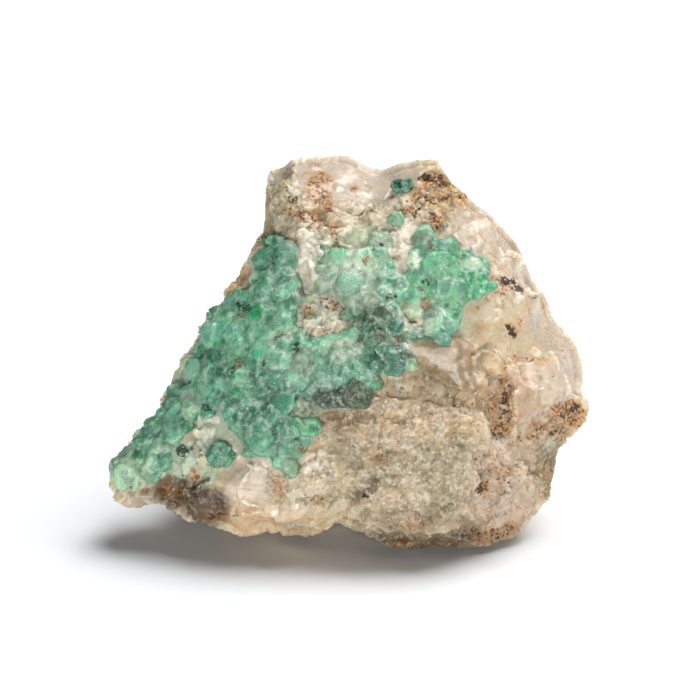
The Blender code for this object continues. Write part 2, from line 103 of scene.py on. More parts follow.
# raised plates: height in mm, then their outline
PLATES = [
    (0.75, [(-1.9, -5.0), (2.8, -2.9), (6.3, -3.2), (12.5, -4.2), (16.5, -4.9), (17.5, -6.9), (17.3, -10.0),
            (16.0, -13.8), (14.8, -16.3), (15.8, -18.9), (12.4, -20.4), (9.9, -20.6), (4.1, -19.8),
            (-0.6, -18.6), (0.3, -16.3), (3.5, -13.8), (1.5, -11.5), (-0.6, -8.8)]),
    (0.45, [(6.3, 4.0), (11.3, 5.0), (16.3, 3.1), (17.6, -1.9), (16.5, -3.4), (12.4, -2.4), (7.9, -0.1), (6.0, 2.3)]),
    (0.5, [(20.1, 0.6), (24.4, 2.5), (27.1, 3.1), (27.4, -2.5), (26.0, -3.8), (22.5, -6.9), (20.3, -6.3)]),
    (0.5, [(-6.4, -10.2), (-3.4, -9.6), (-1.2, -11.5), (-1.0, -14.6), (-3.5, -15.6), (-6.2, -14.6)]),
    (0.4, [(-10.0, 23.6), (-8.0, 24.2), (-6.0, 23.0), (-6.2, 19.0), (-7.0, 16.6), (-9.6, 16.6), (-10.4, 18.5)]),
    (0.6, [(15.4, 19.8), (17.6, 20.2), (19.2, 17.0), (18.4, 14.8), (16.0, 15.8)]),
    (0.8, [(-5.7, 8.3), (-2.4, 9.0), (-0.5, 6.6), (-1.5, 4.5), (-4.5, 4.0), (-6.0, 5.7)]),
    (0.7, [(-7.2, -3.2), (-6.1, -2.6), (-4.8, -3.6), (-4.3, -5.1), (-5.5, -5.9), (-6.9, -5.2)]),
    (0.6, [(-6.2, 18.0), (-0.6, 17.6), (-2.6, 15.4), (-4.6, 13.6), (-4.8, 9.8), (-6.0, 9.8), (-6.4, 14.0)]),
    (0.6, [(6.2, 17.6), (7.8, 17.0), (7.4, 14.8), (8.4, 13.4), (7.3, 12.2), (6.4, 12.9), (5.7, 14.6)]),
]
# broken blocks of feldspar and quartz: across, up, half width, half height, how proud, turn
BLOCKS = [
    (-13.7, -13.0, 1.5, 2.5, 0.6, 4), (-11.4, -13.8, 2.0, 2.3, 0.9, -8), (-10.8, -11.6, 1.4, 0.9, 0.8, 14),
    (-18.0, -6.9, 1.0, 1.9, 0.8, 3), (-16.4, -6.9, 0.9, 1.8, 0.7, -4), (-15.0, -8.2, 0.8, 1.3, 0.6, 10),
    (-14.3, -17.4, 1.6, 1.6, 0.4, 20), (-11.6, -18.4, 1.9, 1.2, 0.4, -12), (-7.4, -18.5, 2.5, 1.2, 0.3, 6),
    (-26.0, -16.0, 1.7, 0.7, 0.5, -6), (-23.0, -16.2, 1.3, 0.8, 0.5, 8), (-3.4, 9.6, 1.1, 0.9, 0.7, 30),
    (17.4, 17.8, 1.0, 2.0, 0.7, -28), (20.4, 13.4, 1.3, 1.8, 0.6, -22), (22.4, 8.4, 1.3, 1.9, 0.5, -30),
    (24.8, 0.2, 1.5, 2.3, 0.6, -10), (26.6, -2.0, 1.2, 1.6, 0.5, 12), (22.4, -2.8, 1.4, 1.8, 0.6, -16),
    (18.7, -14.6, 1.3, 1.9, 0.6, 18), (20.8, -12.4, 1.1, 1.6, 0.6, -12), (17.4, -18.6, 1.3, 0.9, 0.5, 24),
    (2.0, -7.2, 1.5, 0.8, 0.6, -12), (8.6, -6.6, 1.9, 0.8, 0.6, 5), (13.6, -6.4, 1.4, 0.9, 0.5, -14),
    (-5.6, 13.8, 1.1, 1.5, 0.6, 12), (-5.2, 17.4, 1.4, 1.2, 0.6, -20), (-2.0, 19.0, 1.5, 1.1, 0.5, 15),
    (2.8, 19.6, 1.2, 1.3, 0.6, 30), (5.6, 16.6, 0.9, 1.1, 0.6, 0), (11.8, 19.2, 1.3, 1.0, 0.6, 16),
    (9.2, 22.6, 1.2, 1.1, 0.6, -10), (12.6, 22.0, 1.2, 0.9, 0.5, 24), (-8.2, 22.6, 1.0, 1.1, 0.5, 40),
]


def mesh_of(name):
    """A copy of a solid's mesh with its loose triangles merged."""
    shape = bmesh.new()
    shape.from_mesh(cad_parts[name].data)
    bmesh.ops.remove_doubles(shape, verts=shape.verts, dist=1e-6)
    return shape


def piece_of(name, shape):
    mesh = bpy.data.meshes.new(name)
    shape.to_mesh(mesh)
    shape.free()
    made = bpy.data.objects.new(name, mesh)
    bpy.context.scene.collection.objects.link(made)
    return made


def settled(piece):
    """The piece with its modifiers turned into plain mesh."""
    bpy.context.view_layer.update()
    graph = bpy.context.evaluated_depsgraph_get()
    mesh = bpy.data.meshes.new_from_object(piece.evaluated_get(graph))
    piece.modifiers.clear()
    piece.data = mesh
    return piece


def remeshed(piece, size):
    even = piece.modifiers.new("even", "REMESH")
    even.mode = "VOXEL"
    even.voxel_size = size * MM
    even.use_smooth_shade = True
    return settled(piece)


def coords(mesh):
    flat = np.empty(len(mesh.vertices) * 3)
    mesh.vertices.foreach_get("co", flat)
    return flat.reshape(-1, 3)
def move(piece, points):
    piece.data.vertices.foreach_set("co", points.ravel())
    piece.data.update()

def normals(mesh):
    flat = np.empty(len(mesh.vertices) * 3)
    mesh.vertices.foreach_get("normal", flat)
    return flat.reshape(-1, 3)


def edge_pairs(mesh):
    flat = np.empty(len(mesh.edges) * 2, dtype=np.int64)
    mesh.edges.foreach_get("vertices", flat)
    pairs = flat.reshape(-1, 2)
    return np.concatenate([pairs, pairs[:, ::-1]])


def around(values, pairs):
    """The mean of each vertex's neighbours, for rows of values."""
    count = np.bincount(pairs[:, 0], minlength=len(values))
    sums = [np.bincount(pairs[:, 0], values[pairs[:, 1], k], len(values)) for k in range(values.shape[1])]
    return np.stack(sums, 1) / np.maximum(count, 1)[:, None]


def smooth_step(low, high, value):
    share = np.clip((value - low) / (high - low), 0.0, 1.0)
    return share * share * (3.0 - 2.0 * share)


def inside(outline, spots):
    """Distance in mm from the outline for each spot, above zero inside it."""
    ring = np.array(outline)
    ends = np.roll(ring, -1, axis=0)
    within = np.zeros(len(spots), bool)
    near = np.full(len(spots), 1e9)
    for (x0, y0), (x1, y1) in zip(ring, ends):
        crosses = (y0 > spots[:, 1]) != (y1 > spots[:, 1])
        at = x0 + (spots[:, 1] - y0) * (x1 - x0) / ((y1 - y0) or 1e-9)
        within ^= crosses & (spots[:, 0] < at)
        run = np.array([x1 - x0, y1 - y0])
        along = np.clip(((spots - (x0, y0)) @ run) / (run @ run), 0.0, 1.0)
        away = np.linalg.norm(spots - (x0, y0) - along[:, None] * run, axis=1)
        near = np.minimum(near, away)
    return np.where(within, near, -near)


def chunk(draw, wide, high, deep, corners=12):
    """Corners of a broken block about its own middle: a box with its corners struck off. Sizes in mm."""
    result = []
    for x in (-1, 1):
        for y in (-1, 1):
            for z in (-1, 1):
                cut = draw.uniform(0.55, 0.95)
                result.append(Vector((x * wide * cut, y * high * draw.uniform(0.8, 1.0), z * deep)))
                result.append(Vector((x * wide, y * high * cut, z * deep * draw.uniform(0.7, 0.95))))
    return draw.sample(result, corners) if corners < len(result) else result


def add_hull(shape, corners, place, layer=None, colour=None):
    """Adds the closed hull of the corners. Returns its vertices."""
    made = [shape.verts.new(place @ (c * MM)) for c in corners]
    hull = bmesh.ops.convex_hull(shape, input=made)
    spare = dict.fromkeys(hull["geom_interior"] + hull["geom_unused"])
    bmesh.ops.delete(shape, geom=[v for v in spare if isinstance(v, bmesh.types.BMVert)], context="VERTS")
    made = [v for v in made if v.is_valid]
    if layer:
        for vertex in made:
            vertex[layer] = (*colour, 1.0)
    return made


draw = random.Random(29)
shape = mesh_of("matrix")
whole = BVHTree.FromBMesh(shape)
for across, up, wide, high, proud, turn in BLOCKS:
    spot, normal = whole.ray_cast(face(across, up, IN_FRONT), -OUT)[:2]
    axis = (normal + OUT * 0.6 + Vector([draw.uniform(-0.2, 0.2) for _ in range(3)])).normalized()
    place = Matrix.Translation(spot) @ axis.to_track_quat("Z", "Y").to_matrix().to_4x4()
    place = place @ Matrix.Rotation(math.radians(turn), 4, "Z")
    place = place @ Matrix.Translation(Vector((0.0, 0.0, proud - 1.4)) * MM)
    add_hull(shape, chunk(draw, wide, high, 1.4, 16), place)
for name in ("emerald_crust", "emerald_hexagon", "emerald_top", "emerald_pale"):
    grown = mesh_of(name)
    grown.normal_update()
    for vertex in grown.verts:
        vertex.co += vertex.normal * SEAT_COVER * MM
    part = bpy.data.meshes.new(name)
    grown.to_mesh(part)
    grown.free()
    shape.from_mesh(part)
stone = remeshed(piece_of("stone", shape), STONE_VOXEL)

points = coords(stone.data)
pairs = edge_pairs(stone.data)
spots = on_face(points)
vein = inside(VEIN, spots[:, :2])
for outline in ISLANDS:
    vein = np.minimum(vein, -inside(outline, spots[:, :2]))
facing = normals(stone.data) @ np.array(OUT)
vein = np.where((spots[:, 2] > -3.6) & (facing > -0.2), vein, -5.0)
calm = smooth_step(-0.8, 0.4, vein)[:, None]
for _ in range(VEIN_ROUNDS):
    points += calm * 0.6 * (around(points, pairs) - points)
move(stone, points)

# places on the front that break in their own way: across, up, half width, half height, turn, share
SUGARY = [
    (7.0, -10.5, 10.5, 8.5, 0, 1.0), (-4.5, -12.5, 5.0, 4.0, 0, 0.3), (-8.6, 20.5, 3.4, 5.0, 0, 1.0),
    (-5.0, 21.5, 3.0, 4.0, 0, 0.8), (-4.5, 13.0, 3.4, 5.5, 0, 0.4), (3.0, 20.6, 4.5, 3.0, 0, 0.4),
    (10.5, 21.0, 3.4, 4.0, 0, 0.9), (-19.0, -10.0, 2.4, 2.0, 0, 0.5), (-4.0, 6.4, 2.4, 2.4, 0, 0.8),
    (-8.8, -14.6, 1.4, 2.2, 0, 0.9), (-20.0, -15.5, 4.5, 2.5, -10, 0.4), (17.0, -14.0, 3.5, 5.5, 20, 0.5),
    (25.5, -12.0, 2.2, 4.5, 10, 0.9), (18.6, -4.6, 2.0, 4.4, 8, 0.8), (20.0, 9.8, 2.4, 1.4, -25, 0.8),
    (27.4, -6.4, 3.0, 2.4, -20, 0.8), (-6.0, -4.4, 2.6, 2.6, 0, 0.9), (-3.0, -16.4, 3.0, 1.0, 0, 0.8),
    (8.0, -21.8, 6.4, 1.4, 0, 0.6),
]
GLASSY = [
    (11.5, 1.2, 6.4, 4.2, -20, 1.0), (-4.0, -12.5, 3.0, 3.2, 0, 0.8), (-1.5, 24.4, 6.0, 3.4, 0, 1.0),
    (5.0, 24.4, 3.0, 2.0, 0, 1.0), (26.6, 1.0, 3.6, 5.5, 0, 0.9), (18.5, 17.0, 3.5, 4.0, -40, 0.7),
    (-9.7, 24.6, 1.6, 1.6, 0, 1.0), (-12.4, -14.4, 3.0, 3.0, 0, 0.8), (-8.6, -18.8, 6.4, 2.2, 0, 0.65),
    (22.6, -2.6, 3.0, 3.4, 0, 0.6), (16.8, 5.4, 3.8, 3.4, 0, 0.95), (-16.6, -6.8, 2.6, 2.2, 0, 0.9),
    (-14.4, -8.8, 2.0, 2.6, 0, 0.7), (22.4, 6.0, 3.6, 4.6, 0, 0.9), (-25.6, -16.2, 4.0, 1.2, -4, 0.7),
]
CROWN = [
    (-1.5, 24.8, 6.0, 3.6, 0, 1.0), (4.8, 24.4, 3.8, 2.6, 0, 1.0), (17.8, 18.4, 4.0, 4.4, -40, 0.85),
    (22.4, 12.8, 3.4, 4.4, -30, 0.85), (28.0, 1.6, 3.4, 6.0, 0, 0.8), (-10.0, 25.0, 1.6, 1.4, 0, 1.0),
    (25.6, 7.6, 3.0, 4.0, -30, 0.8),
]


def warped(spots):
    """Two rows of wandering offsets, so that the edge of a patch isn't a plain oval."""
    wander = np.empty((len(spots), 2))
    for i, (a, u, w) in enumerate(spots):
        wander[i, 0] = noise.noise((a / 1.7, u / 1.7, w / 1.7)) + 0.5 * noise.noise((a / 0.6, u / 0.6, 3.0))
        wander[i, 1] = noise.noise((a / 1.7 + 9.0, u / 1.7, w / 1.7)) + 0.5 * noise.noise((a / 0.6, u / 0.6, 8.0))
    return wander


def patch(spots, wander, place, soft=0.35, rough=0.5):
    """How far each spot is in an oval place, from 0 to the place's share."""
    across, up, wide, high, turn, share = place
    c, s = math.cos(math.radians(turn)), math.sin(math.radians(turn))
    x, y = spots[:, 0] - across, spots[:, 1] - up
    reach = np.hypot((x * c + y * s) / wide, (y * c - x * s) / high)
    reach = reach + rough * wander[:, 0] + 0.1 * wander[:, 1]
    return share * (1.0 - smooth_step(1.0 - soft, 1.0 + soft, reach))


def most(spots, wander, places):
    result = np.zeros(len(spots))
    for place in places:
        result = np.maximum(result, patch(spots, wander, place))
    return result


def flat_chips(points, size, slope, lift, seed):
    """Height in mm of a surface broken into flat chips: each has its own tilt and level."""
    draw = random.Random(seed)
    low, high = points.min(0) / MM, points.max(0) / MM
    count = int(np.prod((high - low) / size))
    seeds = KDTree(count)
    tilts = []
    for i in range(count):
        seeds.insert([draw.uniform(a, b) for a, b in zip(low, high)], i)
        tilts.append((*(draw.uniform(-slope, slope) for _ in range(3)), draw.uniform(-lift, lift)))
    seeds.balance()
    height = np.empty(len(points))
    for i, point in enumerate(points / MM):
        near, index, _ = seeds.find(point)
        tilt = tilts[index]
        height[i] = sum(t * (p - n) for t, p, n in zip(tilt, point, near)) + tilt[3]
    return height


spots = on_face(points)
wander = warped(spots)
front = smooth_step(-0.15, 0.15, normals(stone.data) @ np.array(OUT))
crown = most(spots, wander, CROWN)
sugary = most(spots, wander, SUGARY) * front * (1.0 - crown)
glassy = np.maximum(most(spots, wander, GLASSY) * front * (1.0 - sugary), crown)
rock = 1.0 - smooth_step(-0.6, 0.6, vein)
for _ in range(GLASS_ROUNDS):
    points += 0.6 * glassy[:, None] * (around(points, pairs) - points)
move(stone, points)
turned = np.abs(normals(stone.data) @ np.array(OUT))
steady = 0.45 + 0.55 * smooth_step(0.1, 0.5, turned)
height = flat_chips(points, 3.4, 0.20, 0.20, 3) * rock * (1.0 - 0.8 * glassy) * steady
height += flat_chips(points, 1.5, 0.20, 0.08, 5) * rock * (1.0 - 0.9 * glassy) * steady
height += flat_chips(points, 0.75, 0.15, 0.04, 7) * (0.35 + 0.5 * sugary) * (1.0 - glassy) * (0.4 + 0.6 * rock)
for lift, outline in PLATES:
    bent = spots[:, :2] + 0.5 * wander
    height += (lift * smooth_step(-0.25, 0.35, inside(outline, bent)) - 0.15 * lift) * front * rock
ribs = np.sin(np.hypot(spots[:, 0] - 13.5, spots[:, 1] - 9.0) * 2.4 + 2.0 * wander[:, 1])
height += 0.04 * ribs * patch(spots, wander, (11.5, 1.2, 6.0, 4.0, -20, 1.0)) * front
height -= 0.25 * smooth_step(-0.5, 1.5, vein)
points = points + normals(stone.data) * height[:, None] * MM
points[:, 2] = np.maximum(points[:, 2], 0.02 * MM)
move(stone, points)


def tone(red, green, blue, gain=0.96):
    """The linear albedo that reads as this colour in the light of the scene."""
    return tuple(gain * (c / 255.0) ** 2.2 for c in (red, green, blue))


# the colour of each place on the front, laid one over the other
CREAM = tone(197, 180, 150)
PINKISH = tone(184, 162, 140)
SAND = tone(222, 190, 148)
PEARL = tone(197, 183, 166)
WHITE = tone(222, 208, 188)
GREY = tone(184, 164, 130)
SHADED = tone(147, 129, 100)
COOL = tone(180, 182, 158)
OLIVE = tone(160, 148, 106)
BROWN = tone(128, 98, 68)
UMBER = tone(82, 64, 40)
TAN = tone(190, 155, 112)
MINT = tone(172, 192, 160)
GREEN_BED = tone(120, 172, 142)
DEEP_BED = tone(86, 124, 100)
PALE_BED = tone(176, 196, 170)
TINTS = [
    (PINKISH, (-1.0, 24.0, 6.0, 3.6, 0, 0.9)), (TAN, (-4.2, 21.0, 3.0, 4.4, 0, 0.6)),
    (CREAM, (3.8, 21.6, 3.4, 2.8, 0, 0.9)), (GREY, (-8.8, 20.5, 3.0, 5.2, 0, 0.9)),
    (OLIVE, (-8.2, 22.5, 2.2, 2.4, 0, 0.6)), (WHITE, (-9.7, 24.8, 1.6, 1.4, 0, 1.0)),
    (OLIVE, (-10.4, 17.2, 1.8, 1.6, 0, 0.7)), (MINT, (-4.6, 13.4, 3.0, 4.6, 0, 0.6)),
    (WHITE, (-4.9, 14.6, 2.6, 4.0, 0, 0.7)), (WHITE, (5.8, 16.8, 1.8, 2.6, 0, 0.9)),
    (MINT, (1.6, 15.6, 3.4, 2.4, 0, 0.6)), (TAN, (11.0, 21.4, 3.6, 3.4, 0, 0.8)),
    (BROWN, (11.6, 23.6, 2.2, 1.2, 0, 0.5)), (TAN, (14.4, 21.6, 2.4, 1.6, -30, 0.7)),
    (WHITE, (17.4, 18.0, 3.0, 4.0, -40, 0.9)), (WHITE, (21.6, 12.6, 3.0, 3.8, -30, 0.9)),
    (CREAM, (17.5, 6.2, 4.4, 3.6, 0, 0.9)), (MINT, (12.6, 5.4, 2.6, 1.4, 0, 0.5)),
    # the UMBER band along the ledge's lower edge is painted shade under the overhang
    (SHADED, (11.6, 1.4, 6.4, 4.2, -20, 1.0)), (UMBER, (12.6, -1.4, 5.0, 0.9, -22, 0.3)),
    # the small WHITE patch at (16.6, 7.2) is partly whitish quartz and partly a painted glint
    (WHITE, (16.6, 7.2, 2.2, 1.1, -10, 0.4)), (TAN, (6.0, -5.0, 9.0, 3.4, -5, 0.55)),
    (BROWN, (-0.8, -6.2, 2.6, 1.9, 0, 0.8)), (GREEN_BED, (-21.2, 0.4, 1.4, 2.6, -35, 0.6)),
    (GREY, (5.0, -13.0, 9.4, 7.4, 0, 0.85)), (OLIVE, (12.0, -11.4, 4.0, 4.6, 0, 0.6)),
    # the thin OLIVE line at (12.4, -7.9) is painted shade in a crack across the lobe
    (OLIVE, (12.4, -7.9, 2.4, 0.5, -6, 0.7)), (UMBER, (1.8, -15.0, 2.6, 0.9, 35, 0.5)),
    (PINKISH, (22.5, -2.8, 3.4, 4.0, 0, 0.9)), (WHITE, (26.8, 0.6, 3.2, 5.4, 0, 0.9)),
    (CREAM, (24.6, 4.0, 3.6, 4.0, 0, 0.6)), (TAN, (18.6, -4.4, 2.0, 4.6, 10, 0.7)),
    (TAN, (27.6, -6.4, 3.0, 2.6, -20, 0.9)), (CREAM, (8.0, -4.4, 6.0, 1.6, -4, 0.6)),
    (BROWN, (26.0, -7.6, 2.6, 1.2, -20, 0.5)), (PINKISH, (18.6, -14.4, 4.4, 6.0, 10, 0.9)),
    (OLIVE, (25.4, -13.0, 2.0, 4.4, 10, 0.9)), (BROWN, (25.0, -13.0, 1.6, 4.0, 10, 0.5)),
    (BROWN, (18.6, -20.6, 3.6, 1.2, 20, 0.7)), (UMBER, (14.8, -20.0, 1.8, 1.4, 0, 0.7)),
    (UMBER, (7.4, -22.2, 6.4, 1.5, 0, 0.8)), (CREAM, (-25.0, -16.2, 4.4, 1.6, -4, 0.8)),
    (TAN, (-26.5, -17.6, 4.4, 0.7, -4, 0.9)), (UMBER, (-20.4, -15.4, 4.6, 2.7, -10, 1.0)),
    (UMBER, (-17.8, -17.2, 2.6, 2.2, -30, 0.9)), (TAN, (-19.4, -9.0, 2.0, 1.6, 0, 0.2)),
    (PALE_BED, (-17.2, -7.6, 3.0, 3.4, 0, 0.85)), (PALE_BED, (-20.4, -11.2, 2.0, 2.2, 0, 0.8)),
    (COOL, (-14.4, -9.0, 1.4, 2.4, 0, 0.7)), (MINT, (-17.6, -13.0, 1.4, 1.6, 0, 0.8)),
    (WHITE, (-12.0, -14.0, 2.8, 3.0, 0, 0.9)), (TAN, (-12.8, -18.4, 2.0, 2.4, 0, 0.6)),
    (CREAM, (-7.2, -18.4, 4.4, 1.9, 0, 0.9)), (TAN, (-8.0, -19.0, 5.4, 1.6, 0, 0.55)),
    (WHITE, (-4.0, -12.6, 3.2, 3.2, 0, 0.3)), (SAND, (8.8, -6.4, 6.0, 2.0, -4, 0.5)),
    (TAN, (-8.8, -14.4, 1.2, 2.4, 0, 0.6)), (TAN, (-5.2, -9.4, 1.8, 1.4, 0, 0.7)),
    (COOL, (-6.0, -4.2, 2.4, 2.4, 0, 0.9)), (DEEP_BED, (-6.0, -4.4, 1.8, 1.6, 0, 0.4)),
    (SHADED, (8.0, -18.6, 6.0, 2.0, 0, 0.85)), (OLIVE, (-3.8, -16.1, 2.4, 0.7, 0, 0.7)),
    (WHITE, (-3.8, 6.6, 3.0, 2.8, 0, 0.7)), (MINT, (-4.4, 6.4, 2.4, 2.0, 0, 0.5)),
    (WHITE, (6.8, 15.0, 1.8, 3.2, 0, 1.0)), (TAN, (-13.6, 11.0, 1.6, 2.4, -30, 0.8)),
]
RUST = [
    (-3.8, 22.4, 1.9, 3.0, 0, 0.9), (-4.8, 18.8, 3.0, 1.2, -25, 0.85), (-1.8, 17.0, 0.7, 1.5, 10, 0.85),
    (0.6, 22.8, 0.6, 0.5, 0, 0.85), (-7.6, 19.9, 1.2, 0.6, 20, 0.8), (10.4, 23.8, 1.4, 1.4, 0, 0.95),
    (11.6, 22.4, 1.8, 1.6, 20, 0.8), (9.4, 21.6, 2.6, 1.0, -20, 0.7), (8.0, 20.4, 1.6, 1.2, 0, 0.8),
    (10.6, 18.6, 0.9, 1.4, 10, 0.9), (13.8, 21.8, 1.2, 0.9, 0, 0.7), (20.0, 10.6, 2.6, 0.9, -25, 0.9),
    (19.0, 9.9, 1.6, 0.9, 0, 0.7), (20.1, 5.1, 0.5, 0.8, 30, 0.9), (14.6, 6.9, 0.5, 0.4, 0, 0.6),
    (15.2, 3.4, 0.6, 0.5, 0, 0.8), (16.4, 5.4, 0.5, 0.4, 0, 0.5), (19.6, 0.2, 1.2, 1.4, 0, 0.7),
    (20.6, 1.2, 1.2, 0.6, 0, 0.7), (23.0, 1.4, 1.6, 0.5, 0, 0.7), (19.2, -2.8, 1.0, 2.2, 8, 0.85),
    (17.6, -4.6, 1.4, 1.4, -30, 0.8), (19.0, -6.6, 1.2, 1.9, -20, 0.9), (20.8, -8.9, 1.6, 0.6, 25, 0.8),
    (16.0, -5.0, 1.6, 1.2, 0, 0.65), (27.6, -5.4, 2.6, 1.8, -15, 0.95), (25.0, -7.4, 2.4, 1.2, -10, 0.8),
    (22.8, -8.6, 2.0, 0.5, 0, 0.85), (24.6, -13.4, 0.9, 1.8, 0, 0.7), (18.6, -12.8, 1.2, 1.4, 30, 0.75),
    (16.4, -14.6, 1.2, 0.9, 40, 0.85), (3.9, -10.9, 1.5, 1.4, 0, 0.65), (8.2, -18.8, 1.3, 1.2, 0, 0.7),
    (10.0, -12.5, 0.7, 0.6, 0, 0.5), (-22.2, -15.0, 2.2, 1.4, -10, 0.75), (-18.8, -13.6, 1.4, 0.8, 0, 0.7),
    (-19.2, -13.0, 0.9, 0.7, 0, 0.8), (-18.5, -10.2, 0.8, 0.7, 0, 0.8), (-16.9, -18.0, 1.4, 1.0, 0, 0.8),
    (-11.6, -18.0, 1.6, 1.8, 0, 0.4), (-8.8, -14.6, 1.2, 2.0, 0, 0.65), (-6.0, -9.8, 1.0, 0.6, 20, 0.85),
    (18.0, -20.4, 3.6, 1.2, 12, 0.85), (7.6, -21.8, 5.4, 0.9, 0, 0.75), (-5.2, 6.8, 1.0, 2.0, 0, 0.75),
    (-2.6, 8.0, 1.6, 0.8, -10, 0.8), (-3.0, 4.8, 1.6, 0.8, 0, 0.7), (-13.8, 6.8, 0.9, 0.5, 0, 0.8),
    (13.0, -8.0, 2.0, 0.5, 10, 0.5), (-12.6, 15.0, 1.0, 1.6, 0, 0.5), (4.4, -7.4, 5.0, 1.6, 0, 0.45),
    (-27.0, -17.4, 3.0, 0.5, -4, 0.7), (-3.6, -16.2, 2.6, 0.8, 0, 0.6), (24.0, -11.0, 0.8, 3.0, 10, 0.6),
    (16.0, -10.0, 0.6, 2.4, 0, 0.5), (5.4, -16.0, 1.6, 0.6, 30, 0.4), (-14.3, 6.6, 0.8, 0.6, 0, 0.85),
    (-9.1, 7.6, 0.6, 0.6, 0, 0.7), (-13.8, 0.8, 0.6, 0.9, -30, 0.75), (9.3, 8.4, 0.8, 1.0, -40, 0.75),
    (8.8, 9.8, 0.8, 0.5, -40, 0.75), (2.0, 13.8, 0.7, 0.7, 0, 0.9), (10.0, 15.5, 0.3, 0.4, 0, 1.1),
    (5.4, 3.6, 1.0, 0.5, 0, 0.8), (-5.8, -9.8, 1.0, 0.7, 20, 0.9), (-5.4, 7.8, 0.5, 0.6, 0, 0.8),
    (-18.6, -10.6, 0.4, 0.3, 0, 0.9), (-27.2, -14.6, 0.4, 0.3, 0, 0.8),
]
DARK = [
    (9.5, 24.0, 0.8, 0.7, 0, 0.9), (11.4, 24.2, 0.7, 0.5, 0, 0.9), (10.9, 23.2, 0.8, 0.7, 0, 0.7),
    (7.1, 21.0, 0.5, 0.4, 0, 0.8), (8.6, 20.1, 0.5, 0.4, 0, 0.9), (8.1, 19.4, 0.5, 0.4, 0, 0.8),
    (19.6, 11.1, 1.4, 0.55, -16, 0.95), (21.0, 10.1, 1.0, 0.55, -40, 0.95), (20.0, 4.9, 0.45, 1.1, 35, 1.0),
    (28.0, -4.8, 0.8, 0.5, 0, 0.9), (26.9, -5.8, 0.9, 0.5, 0, 0.9), (19.2, -3.2, 0.4, 1.0, 15, 0.85),
    (18.8, -5.6, 0.6, 1.2, -20, 0.85), (18.3, -8.2, 0.6, 0.7, 20, 0.8), (9.6, 21.3, 1.7, 0.5, -8, 0.75),
    (10.4, 19.4, 0.7, 0.5, 0, 0.8), (10.8, 18.0, 0.4, 0.9, 0, 0.6), (13.8, 21.8, 0.6, 0.5, 0, 0.7),
    (16.0, -14.8, 0.7, 0.6, 40, 0.9), (-19.0, -15.4, 2.4, 1.6, -10, 0.55), (-16.9, -18.1, 0.8, 0.5, 30, 0.8),
    (2.4, -15.2, 2.0, 0.7, 38, 0.6), (15.2, -20.2, 1.4, 1.0, 10, 0.7), (-7.4, 21.4, 1.1, 0.6, 0, 0.75),
    (-8.2, 22.6, 0.6, 0.5, 0, 0.6), (-11.0, 16.4, 0.9, 0.7, 0, 0.7), (-1.0, -5.4, 2.4, 1.2, 20, 0.4),
    (-4.7, 14.2, 0.3, 0.3, 0, 0.6), (14.3, 6.9, 0.3, 0.3, 0, 0.8), (18.3, 7.1, 0.3, 0.3, 0, 0.7),
    (-5.5, -15.9, 1.8, 0.4, -20, 0.5), (18.8, -20.6, 2.4, 0.5, 20, 0.6), (26.0, -8.2, 1.4, 0.6, -20, 0.6),
    (-13.3, 7.9, 0.9, 0.8, 0, 0.8), (3.9, 15.6, 0.3, 0.25, 0, 1.4), (2.9, 15.0, 0.22, 0.2, 0, 1.1),
    (-17.9, -4.6, 1.1, 0.5, -25, 0.85), (-14.7, -0.1, 0.6, 0.5, 0, 0.8), (-10.7, 0.9, 0.5, 0.7, 20, 0.8),
    (5.1, 9.2, 0.9, 0.5, 0, 0.75), (-6.6, 2.9, 0.6, 0.7, 0, 0.75), (9.6, 10.8, 0.7, 0.5, -30, 0.75),
    (-3.0, -3.6, 2.4, 1.2, 0, 0.4), (1.4, -2.8, 2.4, 1.6, 0, 0.5), (3.0, 5.6, 2.6, 2.0, 0, 0.35),
    (6.0, 3.4, 1.6, 0.9, 0, 0.6),
]


def floats(mesh, name, values):
    mesh.attributes.new(name, "FLOAT", "POINT").data.foreach_set("value", values.astype(np.float32))


def tints(mesh, name, values):
    four = np.concatenate([values, np.ones((len(values), 1))], axis=1).astype(np.float32)
    mesh.attributes.new(name, "FLOAT_COLOR", "POINT").data.foreach_set("color", four.ravel())
def laid(tint, colour, share):
    """The tints with the colour laid over them, by its share at each point."""
    return tint * (1.0 - share[:, None]) + np.array(colour) * share[:, None]

spots = on_face(points)
facing = normals(stone.data) @ np.array(OUT)
seen = smooth_step(-0.5, -0.1, facing)
tint = np.tile(np.array(CREAM), (len(points), 1))
for colour, place in TINTS:
    tint = laid(tint, colour, patch(spots, wander, place) * seen)
# darker towards the floor along the foot, laid on below as UMBER: partly brown staining, partly painted shade where
# the foot sits in its own shadow
low = smooth_step(6.0, 2.0, points[:, 2] / MM)
low = low * smooth_step(-2.0, 3.0, spots[:, 0]) * smooth_step(21.0, 13.0, spots[:, 0])
rust = most(spots, wander, RUST) * seen
tint = laid(tint, PEARL, crown * (0.9 - 0.8 * rust))
tint = laid(tint, UMBER, 0.8 * low)
bed = smooth_step(-0.4, 0.5, vein)[:, None]
deep = np.clip(0.4 + 1.1 * wander[:, :1], 0.0, 1.0)
pale = np.clip(0.3 + 1.6 * wander[:, 1:], 0.0, 1.0)
green = np.array(GREEN_BED) * deep + np.array(DEEP_BED) * (1.0 - deep)
tint = tint * (1.0 - bed) + (green * (1.0 - pale) + np.array(PALE_BED) * pale) * bed
tints(stone.data, "tint", tint)
sparse = 0.27 * smooth_step(8.0, 16.0, spots[:, 0]) + 0.2 * smooth_step(-2.0, 4.0, spots[:, 0])
floats(stone.data, "rust", np.maximum(rust, sparse * front))
floats(stone.data, "dark", most(spots, wander, DARK) * seen)
floats(stone.data, "sugary", np.maximum(sugary, 0.45 * (1.0 - front)) * rock)
floats(stone.data, "glassy", glassy)
floats(stone.data, "behind", smooth_step(0.0, -0.5, facing) * (1.0 - crown))


def wire(tree, source, target):
    tree.links.new(source, target)


